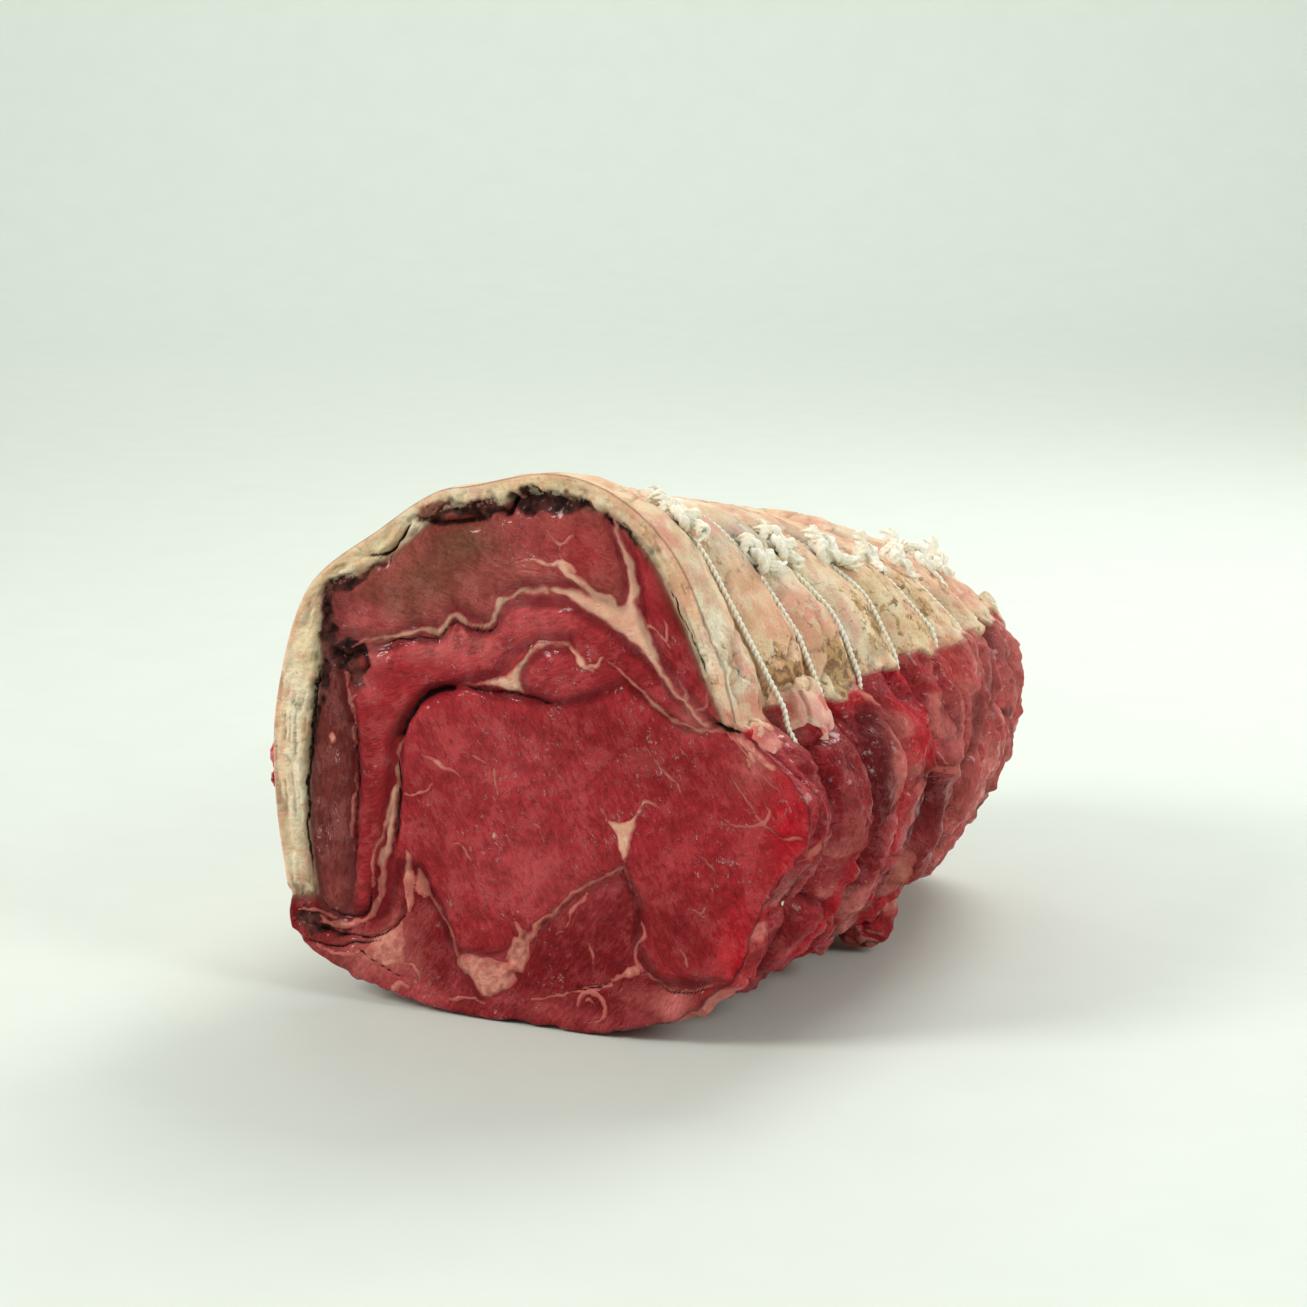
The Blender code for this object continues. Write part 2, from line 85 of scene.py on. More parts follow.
WEDGE_UNDER = ((9, 109.6), (1, 108.4), (-4.5, 104), (-6, 98.5), (-3, 94.6))
CREVICE = ((-25, 96.8), (-13, 95.2), (-3, 94.6))
CAP_UNDER_RIGHT = ((-3, 94.6), (6, 93.6), (15, 96), (26, 101.2), (35, 95.4), (44, 90), (50, 90.3))
EYE_LEFT = ((-50, 28.5), (-46, 42.5), (-39, 42), (-32, 30), (-27, 18.6))
EYE_MID = ((-27, 18.6), (-13, 19.8), (-5, 24.8))
EYE_RIGHT = ((-5, 24.8), (3, 33), (14, 42), (25, 49), (30, 40), (29, 27), (36, 18.5), (57, 19))
LUMP_UNDER = ((-5, 24.8), (-6, 17.5), (-13, 9.5), (-20, 6.4), (-27, 18.6))
FLAP_UNDER = ((-72.5, 31), (-71, 24.5), (-65, 23), (-61, 28))


def ease(x):
    """0 below 0, 1 above 1, smooth in between."""
    x = np.clip(x, 0, 1)
    return x * x * (3 - 2 * x)


def spline(points, step=2.0):
    """A smooth curve through the points, as even steps."""
    pts = np.array(points, float)
    pts = np.vstack([2 * pts[0] - pts[1], pts, 2 * pts[-1] - pts[-2]])
    t = np.linspace(0, 1, 16, endpoint=False)[:, None]
    fine = np.vstack([0.5 * (2 * b + (c - a) * t + (2 * a - 5 * b + 4 * c - d) * t ** 2
                             + (3 * b - a - 3 * c + d) * t ** 3)
                      for a, b, c, d in zip(pts, pts[1:], pts[2:], pts[3:])] + [pts[-2:-1]])
    run = np.concatenate([[0], np.cumsum(np.linalg.norm(np.diff(fine, axis=0), axis=1))])
    at = np.linspace(0, run[-1], max(2, int(run[-1] / step) + 1))
    return np.stack([np.interp(at, run, fine[:, k]) for k in range(fine.shape[1])], 1)


def along(p, line):
    """Distance of each point to a line of points, and how far along it the nearest place is."""
    near, place = np.full(len(p), 1e9), np.zeros(len(p))
    run = np.concatenate([[0], np.cumsum(np.linalg.norm(np.diff(line, axis=0), axis=1))])
    for i in range(len(line) - 1):
        a, ab = line[i], line[i + 1] - line[i]
        t = np.clip(((p - a) @ ab) / max(ab @ ab, 1e-9), 0, 1)
        d = np.linalg.norm(p - a - t[:, None] * ab, axis=1)
        closer = d < near
        near = np.where(closer, d, near)
        place = np.where(closer, (run[i] + t * (run[i + 1] - run[i])) / run[-1], place)
    return near, place


def depth_in(p, ring, reach=8.0):
    """How deep each point lies inside a closed outline; negative outside, down to -reach."""
    out = np.full(len(p), -reach)
    box = ((p > ring.min(0) - reach) & (p < ring.max(0) + reach)).all(1)
    q = p[box]
    d = along(q, np.vstack([ring, ring[:1]]))[0]
    odd = np.zeros(len(q), bool)
    for (x0, z0), (x1, z1) in zip(ring, np.roll(ring, -1, axis=0)):
        if z0 != z1:
            crosses = (z0 > q[:, 1]) != (z1 > q[:, 1])
            odd ^= crosses & (q[:, 0] < (x1 - x0) * (q[:, 1] - z0) / (z1 - z0) + x0)
    out[box] = np.where(odd, d, -np.minimum(d, reach))
    return out


def lumps(p, size, seed=0):
    """Smooth random lumps from -1 to 1, about as large as size."""
    q = np.asarray(p, float) / size + seed * 17.31
    base = np.floor(q).astype(np.int64)
    f = q - base
    f = f * f * f * (f * (6 * f - 15) + 10)
    total = np.zeros(len(q))
    for corner in np.ndindex(*(2,) * q.shape[1]):
        h = np.zeros(len(q), np.int64)
        weight = np.ones(len(q))
        for k, c in enumerate(corner):
            h ^= (base[:, k] + c) * (73856093, 19349663, 83492791)[k]
            weight *= f[:, k] if c else 1 - f[:, k]
        h = ((h ^ (h >> 13)) * 1274126177) & 0xFFFFFFFF
        h = ((h ^ (h >> 15)) * 2246822519) & 0xFFFFFFFF
        total += weight * (((h ^ (h >> 16)) & 0xFFFF) / 32767.5 - 1)
    return total


def in_degrees(angle):
    """Angles in degrees, from -60 below the right side round to 300."""
    return (np.degrees(angle) + 60) % 360 - 60


def drift(p, size, seed):
    """A random sideways shift for each point, from -1 to 1 in two directions."""
    return np.stack([lumps(p, size, seed), lumps(p, size, seed + 1)], 1)


def peak(value, width):
    """1 where the value is 0, falling away to both sides."""
    return np.exp(-(value / width) ** 2)


def spot(p, middle_x, middle_y, half_x, half_y):
    """0 in the middle of an oval, 1 on its edge, and more outside it."""
    return ((p[:, 0] - middle_x) / half_x) ** 2 + ((p[:, 1] - middle_y) / half_y) ** 2


outside_ring = np.vstack([spline(FAT_OUTSIDE, 3)[:-1], spline(UNDERSIDE, 3)[:-1], spline(RIGHT_SIDE, 3)])
rel = outside_ring - CENTRE
ring_angle = np.arctan2(rel[:, 1], rel[:, 0])
order = np.argsort(ring_angle)
RING_ANGLE = np.concatenate([ring_angle[order] + k * 2 * math.pi for k in (-1, 0, 1)])
RING_RADIUS = np.tile(np.hypot(rel[:, 0], rel[:, 1])[order], 3)


def radius_at(y, angle):
    """Radius of the joint and its shift in X, at a distance from the face and an angle."""
    turn, half, top, under, shift = (np.interp(y, TAPER[:, 0], TAPER[:, k]) for k in range(1, 6))
    up = np.sin(angle) > 0
    rise = np.where(up, top - CENTRE[1], CENTRE[1] - under)
    power = np.where(up, 2.0, 2.35)
    oval = (np.abs(np.cos(angle)) / half) ** power + (np.abs(np.sin(angle)) / rise) ** power
    oval = oval ** (-1 / power)
    near = ease(1 - np.abs(np.degrees(angle) - 42) / 42)
    turn = turn * (1 - 0.75 * near * ease(1 - y / 110))
    waist = ease(1 - np.abs(np.degrees(angle) - 12) / 26)
    turn = turn * (1 - 0.85 * waist * ease(1 - y / 140))
    return np.interp(angle, RING_ANGLE, RING_RADIUS) * (1 - turn) + oval * turn, shift * turn


def carry(p, y, push=0.0):
    """Points of the face section carried to distance y, pushed out from the middle by push."""
    rel = p - CENTRE
    angle = np.arctan2(rel[:, 1], rel[:, 0])
    radius, shift = radius_at(y, angle)
    reach = np.hypot(rel[:, 0], rel[:, 1]) / np.interp(angle, RING_ANGLE, RING_RADIUS) * radius + push
    return np.stack([shift + reach * np.cos(angle), y - LENGTH / 2, CENTRE[1] + reach * np.sin(angle)], 1)


# Muscles and fat as the cut face shows them.
# Each muscle is lean meat with its own shade and grain, parted from the next by a seam.
# The regions share their edges, so that every spot of the face belongs to one of them.
def ring_of(*lines):
    """One closed outline from lines that follow each other."""
    return np.vstack([np.array(line, float) for line in lines])


def back(line):
    return line[::-1]


fat_in = spline(FAT_INSIDE, 2)
REGIONS = {
    "fat_cover": ring_of(CENTRE + (spline(FAT_OUTSIDE, 2) - CENTRE) * 1.12, ((-72.5, 31),), back(fat_in),
                         ((53, 91.6), (66, 91.0))),
    "upper_seam_fat": ring_of(spline(SEAM_TOP, 1.5), BRANCH_LEFT, BRANCH_RIGHT, spline(SEAM_UNDER, 1.5)),
    "cap_seam_fat": ring_of(spline(WEDGE_TOP, 1), spline(WEDGE_UNDER, 1), back(CREVICE)),
    "left_seam_fat": ring_of(STRIP_LEFT, STRIP_RIGHT),
    "lower_fat": ring_of(EYE_MID, LUMP_UNDER),
    "shoulder_muscle": ring_of(FAT_INSIDE[:5], BRANCH_RIGHT),
    "top_muscle": ring_of(fat_in[(fat_in[:, 0] < 19.5) & (fat_in[:, 1] > 108)], spline(SEAM_TOP, 1.5),
                          BRANCH_LEFT),
    "left_flap": ring_of(FAT_INSIDE[12:], FLAP_UNDER, back(CAP_LEFT), SEAM_TOP[:1]),
    "cap_muscle": ring_of(spline(SEAM_UNDER, 1.5), CAP_LEFT, STRIP_LEFT, CAP_UNDER_LEFT, WEDGE_TOP,
                          WEDGE_UNDER, CAP_UNDER_RIGHT),
    "lower_muscle": ring_of(((-95, 31), (-95, -9), (70, -9), (70, 19)), back(EYE_RIGHT), LUMP_UNDER,
                            back(EYE_LEFT), STRIP_LEFT[:1], back(FLAP_UNDER)),
}

# Colours of lean and of fat
LEAN = {"pale": (0.49, 0.066, 0.074), "fresh": (0.38, 0.021, 0.028), "deep": (0.225, 0.009, 0.012),
        "bright": (0.52, 0.007, 0.018), "pink": (0.66, 0.17, 0.15), "brown": (0.165, 0.060, 0.032),
        "dull": (0.32, 0.060, 0.049), "dry": (0.058, 0.015, 0.012), "flap": (0.125, 0.019, 0.016),
        "film": (0.68, 0.25, 0.21)}
FAT = {"cream": (0.82, 0.62, 0.38), "white": (0.86, 0.79, 0.60), "peach": (0.82, 0.47, 0.30),
       "rose": (0.72, 0.30, 0.22), "tan": (0.62, 0.40, 0.20), "olive": (0.58, 0.46, 0.26),
       "brown": (0.30, 0.15, 0.06), "grey": (0.44, 0.44, 0.38)}

# Colour of each region, its grain's direction in degrees, and how far it bulges
SHADES = {
    "fat_cover": (FAT["cream"], 0, 0.0),
    "upper_seam_fat": (LEAN["pale"], 0, 0.0),
    "cap_seam_fat": (LEAN["fresh"], 0, 0.0),
    "left_seam_fat": (LEAN["fresh"], 90, 0.0),
    "lower_fat": (LEAN["pale"], 0, 0.0),
    "shoulder_muscle": (LEAN["fresh"], -62, 0.8),
    "top_muscle": (LEAN["dull"], -25, 0.9),
    "left_flap": (LEAN["flap"], 85, 0.6),
    "cap_muscle": (LEAN["fresh"], 15, 1.2),
    "lower_muscle": (LEAN["deep"], 60, 0.8),
    "rib_eye": (LEAN["fresh"], -62, 1.4),
}
names = list(SHADES)

# Patches of another colour: middle, half width, half height, colour, strength
PATCHES = (
    (-23, 135, 11, 6, "brown", 0.95), (-45, 118, 12, 6, "brown", 0.55), (-36, 127, 10, 5, "brown", 0.7),
    (-64, 113, 5, 7, "flap", 0.8), (-50, 112, 12, 4, "pale", 0.6), (-2, 131, 9, 4, "pink", 0.3),
    (-2, 117, 11, 4, "pink", 0.3), (-2, 137, 10, 8, "pale", 0.5), (14, 136, 10, 8, "fresh", 0.8),
    (-10, 76, 24, 12, "pale", 0.45), (-2, 44, 22, 12, "pale", 0.6), (-34, 58, 9, 18, "deep", 0.35),
    (18, 86, 22, 7, "deep", 0.35), (38, 78, 14, 8, "deep", 0.35), (48, 62, 14, 9, "fresh", 0.5),
    (42, 34, 16, 10, "deep", 0.7), (75, 66, 6, 12, "bright", 0.95), (60, 30, 5, 12, "bright", 0.8),
    (64, 82, 5, 6, "pink", 0.7), (-28, 107, 18, 5, "pale", 0.85), (-4, 116, 12, 4, "pale", 0.7),
    (26, 86, 30, 10, "deep", 0.3), (43, 116, 9, 15, "deep", 0.6), (-22, 110, 8, 3, "pink", 0.5),
    (-34, 106, 7, 2.5, "pink", 0.4), (-54, 106, 5, 3, "pink", 0.5), (24, 110, 8, 5, "deep", 0.5),
    (4, 101, 10, 7, "pale", 0.4), (-54, 60, 5, 26, "deep", 0.5), (10, 24, 12, 8, "deep", 0.8),
    (-35, 20, 7, 11, "deep", 0.95), (-61, 99, 6, 6, "flap", 0.8), (-53, 101, 4, 3, "pink", 0.5),
    (-66, 34, 6, 7, "dull", 0.6), (-64, 14, 14, 4, "dull", 0.5), (-53, 13, 10, 6, "pink", 0.75),
    (-45, 20, 5, 8, "pink", 0.6), (-40, 6, 16, 4, "pale", 0.8), (5, 5, 20, 4, "pale", 0.6),
    (40, 11, 8, 4, "pink", 0.8), (-56, 93, 4, 4, "pale", 0.7), (46, 93, 5, 4, "pink", 0.6),
    (-67, 60, 5, 22, "dull", 0.35),
)
# Patches on the cut fat, laid out the same way. The olive, tan and brown ones along the inner edge of the
# left rim are partly the fat's own colour and partly painted shade of the rim's inner step.
FAT_PATCHES = (
    (57, 95, 9, 7, "rose", 0.95), (51, 112, 6, 9, "white", 0.8), (53, 104, 5, 6, "peach", 0.7),
    (44, 128, 7, 9, "peach", 0.8), (31, 144, 9, 6, "rose", 0.45), (12, 154, 10, 3, "tan", 0.5),
    (-6, 152, 7, 3, "cream", 0.8), (-24, 150, 9, 3, "white", 0.5), (-40, 141, 8, 4, "white", 0.6),
    (-55, 131, 9, 4, "cream", 0.7), (-70, 121, 6, 6, "cream", 0.7), (-83, 104, 4, 14, "peach", 0.85),
    (-71, 97, 4, 13, "olive", 0.8), (-78, 84, 4, 14, "white", 0.8), (-85.5, 72, 3.5, 18, "peach", 0.8),
    (-79, 58, 4, 18, "white", 0.85), (-75, 72, 2.5, 14, "tan", 0.6), (-80, 38, 5, 8, "white", 0.5),
    (-84, 32, 4, 5, "peach", 0.7), (-76, 35, 3, 6, "brown", 0.5), (-74, 50, 2, 14, "brown", 0.45),
)

# Dark dried crusts under the fat, with how dark each is
CRUSTS = (
    (((-41, 141), (-37, 146), (-28, 147.6), (-20, 149), (-13, 150.2), (-11, 145), (-15, 143.5),
      (-22, 142.8), (-30, 142.6), (-36, 139.5)), 1.5),
    (((-9.5, 151), (-5, 153), (3, 153), (12, 151), (18, 147.6), (10, 146.6), (3, 146), (-3, 145.6),
      (-8, 146)), 0.8),
    (((20.5, 148), (24, 147.5), (27, 143.5), (30, 139), (28, 139), (24, 142.5), (21.5, 145.5)), 0.9),
    (((-70, 121), (-60, 124.8), (-54, 126.3), (-47, 131), (-50, 127.5), (-58, 122.3), (-66, 118.5),
      (-66.5, 112), (-64, 106), (-67, 104), (-70, 108)), 1.3),
    (((-70, 100), (-66, 98), (-70, 90), (-72, 80), (-74, 68), (-75, 76), (-73, 88)), 1.0),
    (((-66, 105), (-61, 106.5), (-56, 104.5), (-55, 101), (-59, 100), (-63, 97), (-66, 99)), 1.2),
    (((-61, 98), (-57, 99.5), (-54, 97.5), (-55.5, 93.5), (-59, 92.5)), 1.6),
    (((-80, 23), (-76, 27), (-70, 22), (-62, 20.5), (-70, 18.5), (-77, 19.5)), 1.4),
)

# Lines of fat: points, then half width at the start, the middle and the end
FAT_LINES = (
    (((-52, 106.2), (-46, 108.5), (-40, 110), (-35, 111.3), (-31.5, 110.6), (-29, 114), (-26.5, 116.2),
      (-23, 114.3), (-19, 113.6), (-15, 114.2), (-13.3, 118), (-12, 121), (-9, 122), (-6, 124.4),
      (-2, 124), (2, 125.2)), 0.7, 0.95, 1.2),
    (((7, 132.2), (11, 128.7), (16, 125.2), (22, 122.3)), 0.8, 1.5, 1.8),
    (((-8, 131.3), (-3, 132.8), (2, 132.2), (7, 132.4), (11, 130.8)), 0.2, 0.8, 0.6),
    (((-7, 129), (-4, 129.6), (0, 129.4)), 0.1, 0.35, 0.1),
    (((3, 141.2), (7, 138.2), (10.5, 141)), 0.2, 0.55, 0.2),
    (((7, 138.2), (6.5, 135), (8, 132)), 0.45, 0.3, 0.4),
    (((27.5, 122.5), (28.4, 129), (26.6, 134), (24, 140), (21.8, 147)), 1.7, 1.1, 0.7),
    (((33, 117), (36, 116.4), (38.3, 113.2), (39.5, 112)), 0.5, 0.4, 0.2),
    (((38.3, 113.2), (38.8, 117), (37.7, 120)), 0.3, 0.3, 0.1),
    (((44, 97.5), (43.5, 101), (41, 104)), 0.5, 0.35, 0.15),
    (((47, 95), (50, 97), (50.5, 100)), 0.4, 0.3, 0.2),
    (((-4, 106.5), (0, 109.3), (6, 110.2), (8.5, 110.5)), 0.9, 0.6, 0.35),
    (((9.5, 109.6), (12, 107.8), (13.3, 105), (16, 104)), 0.8, 1.3, 0.9),
    (((14, 105), (17.5, 105.3), (19.3, 107.4)), 0.8, 0.9, 0.4),
    (((21, 106.4), (25, 103.6), (29, 100.5), (33, 96.6), (37, 94), (42, 91.3), (46.5, 90.2), (52, 89.8)),
     0.25, 0.75, 0.6),
    (((52, 90), (56, 90), (60, 88.4), (62, 85), (64.5, 81.5), (68, 78.2), (72, 75.5)), 0.5, 0.5, 0.25),
    (((-44.4, 79), (-45.5, 70), (-46.3, 62), (-47.6, 55), (-48.7, 49), (-50.6, 43), (-51.6, 37),
      (-52.3, 31), (-54.5, 27), (-59, 24.2), (-66, 22.4), (-72, 23.6)), 0.4, 1.15, 0.7),
    (((-45.8, 67), (-47.4, 60), (-49.9, 53), (-52.8, 46), (-54.3, 40), (-54.6, 35)), 0.9, 0.5, 0.3),
    (((-42.6, 46), (-42.2, 40), (-42.3, 33), (-42.8, 29)), 0.6, 1.6, 0.5),
    (((-35.3, 34.5), (-31.3, 29), (-28, 22.5), (-27.2, 18.5)), 0.5, 0.4, 0.6),
    (((30, 65), (31.2, 68), (33, 69), (36, 67)), 0.5, 0.35, 0.12),
    (((21.3, 62.3), (20, 65), (18, 68)), 0.5, 0.3, 0.1),
    (((25.4, 50), (26.3, 47.5), (28, 43.5), (29.6, 42)), 0.35, 0.4, 0.25),
    (((25.4, 49.6), (20, 46.5), (14, 42.5), (8, 38.6), (3, 33.6), (-1, 30), (-4, 26), (-5, 22)),
     0.4, 0.55, 1.1),
    (((31, 34.5), (31.8, 31), (29.2, 28), (28.4, 24.5), (30.5, 21.6), (34, 19.4)), 0.3, 0.65, 0.4),
    (((29, 20.6), (25.5, 19), (22, 17)), 1.3, 0.9, 0.3),
    (((11, 8), (12, 11), (15, 12.6), (18, 11.5), (20, 8), (18, 4.4), (14.6, 3)), 0.3, 0.6, 0.3),
    (((13.5, 9.4), (15, 10.4), (16.5, 8.8)), 0.2, 0.5, 0.2),
    (((-3, 8), (3, 10), (10, 12.2), (16, 13.6), (22, 15.6)), 0.15, 0.35, 0.4),
    (((34, 19), (40, 16.6), (46, 16.2), (52, 18), (57, 19.6)), 0.4, 0.35, 0.15),
    (((14, 40), (10.4, 36), (8.6, 33), (7.6, 30)), 0.2, 0.4, 0.15),
    (((15, 27), (15.6, 24), (15.8, 20.6)), 0.15, 0.4, 0.15),
    (((57, 79), (61, 73.4), (64, 69.2), (67, 66.2)), 0.15, 0.3, 0.3),
    (((54, 67), (60, 65), (66.6, 66), (72, 62.6), (78, 63)), 0.15, 0.3, 0.2),
    (((67, 66.2), (68.4, 70), (66.5, 73)), 0.25, 0.3, 0.1),
    (((-37, 75.2), (-33, 74), (-28, 71.6), (-25, 70)), 0.25, 0.5, 0.2),
    (((-14, 74.5), (-13.6, 69), (-12, 65)), 0.3, 0.4, 0.15),
    (((-43, 63), (-39, 63.6), (-36, 65), (-34.4, 67)), 0.2, 0.5, 0.2),
    (((-27, 50), (-25, 51), (-22, 48), (-19, 43)), 0.2, 0.3, 0.12),
    (((32, 84), (37, 79), (42, 73), (43.5, 69)), 0.1, 0.28, 0.1),
    (((-24, 78), (-18, 75.4), (-15, 74.6)), 0.1, 0.25, 0.15),
    (((4, 76), (8, 71), (9, 66)), 0.1, 0.22, 0.1),
    (((-6, 63), (-1, 58), (2, 53)), 0.1, 0.22, 0.1),
    (((40, 30), (43.5, 27.5), (44.3, 23.6)), 0.15, 0.35, 0.15),
    (((48, 55), (52, 52), (53, 47)), 0.12, 0.3, 0.12),
    (((46, 40), (49, 39.4), (51, 41.5)), 0.15, 0.32, 0.15),
    (((-61.5, 97), (-60.4, 90), (-59.8, 83), (-59.7, 75)), 0.4, 0.75, 0.3),
    (((-59.6, 68), (-60, 57), (-60.8, 45)), 0.2, 0.4, 0.2),
    (((-60, 104), (-56, 106.2), (-52, 106.2)), 0.3, 0.5, 0.4),
    (((-58, 91), (-60.5, 88), (-59.6, 85)), 0.3, 0.5, 0.2),
    (((-79, 25), (-72, 25.5), (-66, 24.4)), 0.3, 0.5, 0.2),
    (((-76, 16), (-66, 13.5), (-58, 15)), 0.3, 0.5, 0.3),
    (((-49, 4), (-46, 7), (-43, 6)), 0.6, 1.2, 0.5),
    (((-30, 4), (-24, 5.4), (-19, 4)), 0.3, 0.6, 0.3),
    (((-8, 30.5), (-6.4, 27.5), (-5.4, 24)), 0.4, 0.8, 1.3),
    (((-44, 14), (-41, 13), (-39, 9)), 0.4, 0.6, 0.3),
)

# Outlines of broader lumps and wedges of fat
FAT_SPOTS = (
    ((2, 125), (10, 122.2), (20, 116.7), (28, 112), (34, 107), (38, 101.3), (42, 97.2), (47, 92.3),
     (51, 90), (51.5, 91.2), (46.5, 95), (43, 98.6), (40, 101.6), (37.4, 106), (35.4, 111.5), (33.4, 116),
     (31, 120), (29.5, 123.4), (24, 122.6), (18, 123.4), (12, 125.5), (5, 126.6)),
    ((-24, 96.3), (-15, 96.5), (-8, 95.5), (-4, 95.2), (-5.6, 98.5), (-5, 102.5), (-3, 106), (0, 108.5),
     (-3, 108.7), (-6.2, 105), (-8.4, 101.3), (-13, 99.2), (-18, 97.9)),
    ((21.5, 62.5), (26, 63), (30, 65.2), (29, 60), (27.4, 54), (25.5, 50.3), (24.5, 55), (23, 59)),
    ((-39.7, 42.5), (-37, 39.4), (-35, 34.6), (-37.8, 33.4), (-40, 36)),
    ((-8.5, 26), (-5, 26), (-3.8, 20.5), (-7, 15.5), (-10, 15), (-11.5, 19)),
    ((-27, 18), (-22, 18.8), (-14, 18), (-8.6, 17), (-8.2, 13), (-12, 9.5), (-17, 6.6), (-20.5, 6.6),
     (-23, 11), (-27, 15)),
    ((-58, 14), (-54, 19.5), (-48.5, 23.5), (-44.3, 26), (-43, 20), (-43.8, 14), (-50, 11)),
    ((57, 90.5), (60, 91.3), (65, 89), (69, 86), (73, 81.5), (71, 81), (67, 83.4), (63, 86), (60, 88.8)),
    ((-15, 54), (-13.4, 56.6), (-12.4, 55), (-13.6, 53)),
    ((-68, 77), (-66.4, 79), (-65.2, 77), (-66.6, 74.6)),
)

# Cracks and crevices, sunk in and with painted shade along them: points, half width, depth
CRACKS = (
    (((-45, 76), (-44.6, 80), (-43, 84), (-40, 88), (-37, 91.4), (-34, 92.9), (-30, 94.2), (-25, 95.6)),
     0.8, 3.0),
    (((-25, 95.6), (-18, 95), (-10, 94.7), (-4, 94.1), (1, 93.4), (6, 92.5)), 0.35, 1.6),
    (((-45.2, 76), (-45.2, 70), (-45.2, 62), (-45.6, 55), (-46.4, 47)), 0.4, 1.1),
    (((-66, 103), (-62, 101), (-58, 102.6), (-55, 100.5), (-55.6, 97)), 0.6, 2.2),
    (((-56, 130.4), (-50, 130.8), (-46.4, 133), (-43, 138), (-40, 141)), 0.5, 2.4),
    (((-37, 141), (-30, 141), (-25, 141.6), (-20, 142.5), (-16, 143.5)), 0.9, 4.0),
    (((-11, 144), (-9, 147), (-7.4, 151)), 0.8, 3.4),
    (((51, 92), (54, 91), (58, 90.8), (64, 91.6)), 0.6, 3.4),
    (((-80, 22), (-76, 21), (-68, 19.6), (-58, 19.3), (-50, 21.6), (-45, 27), (-43.6, 33)), 0.3, 1.3),
    (((-80, 17), (-70, 15), (-60, 17), (-50, 20)), 0.3, 1.2),
    (((-60.5, 92), (-59.2, 80), (-58.6, 66), (-59.5, 50), (-60.4, 38), (-61, 30)), 0.3, 0.9),
    (((-70.5, 104), (-70.6, 98), (-74.3, 76), (-75.8, 50), (-73, 32)), 0.5, 1.6),
    (((-53, 104.4), (-46, 106.6), (-38, 108.6), (-32, 108.6), (-27, 113.3), (-20, 111.6), (-14.4, 112.4),
      (-10.5, 119)), 0.25, 0.8),
    (((-71, 29), (-66, 25.6), (-59, 25.4), (-55.6, 29), (-54, 36)), 0.35, 1.0),
    (((-60, 16), (-52, 12), (-44, 9)), 0.25, 0.7),
    (((10, 12.4), (16, 14), (22, 16.2)), 0.25, 0.9),
    (((34, 18.5), (40, 15.8), (46, 15.4), (52, 17.4)), 0.3, 1.0),
    (((51, 104), (47, 112), (43, 120), (38, 129)), 0.25, 0.6),
)


def tint(shade, colour, amount):
    """Moves shades towards a colour, by an amount from 0 to 1 at each point."""
    shade += (np.array(colour) - shade) * amount[:, None]


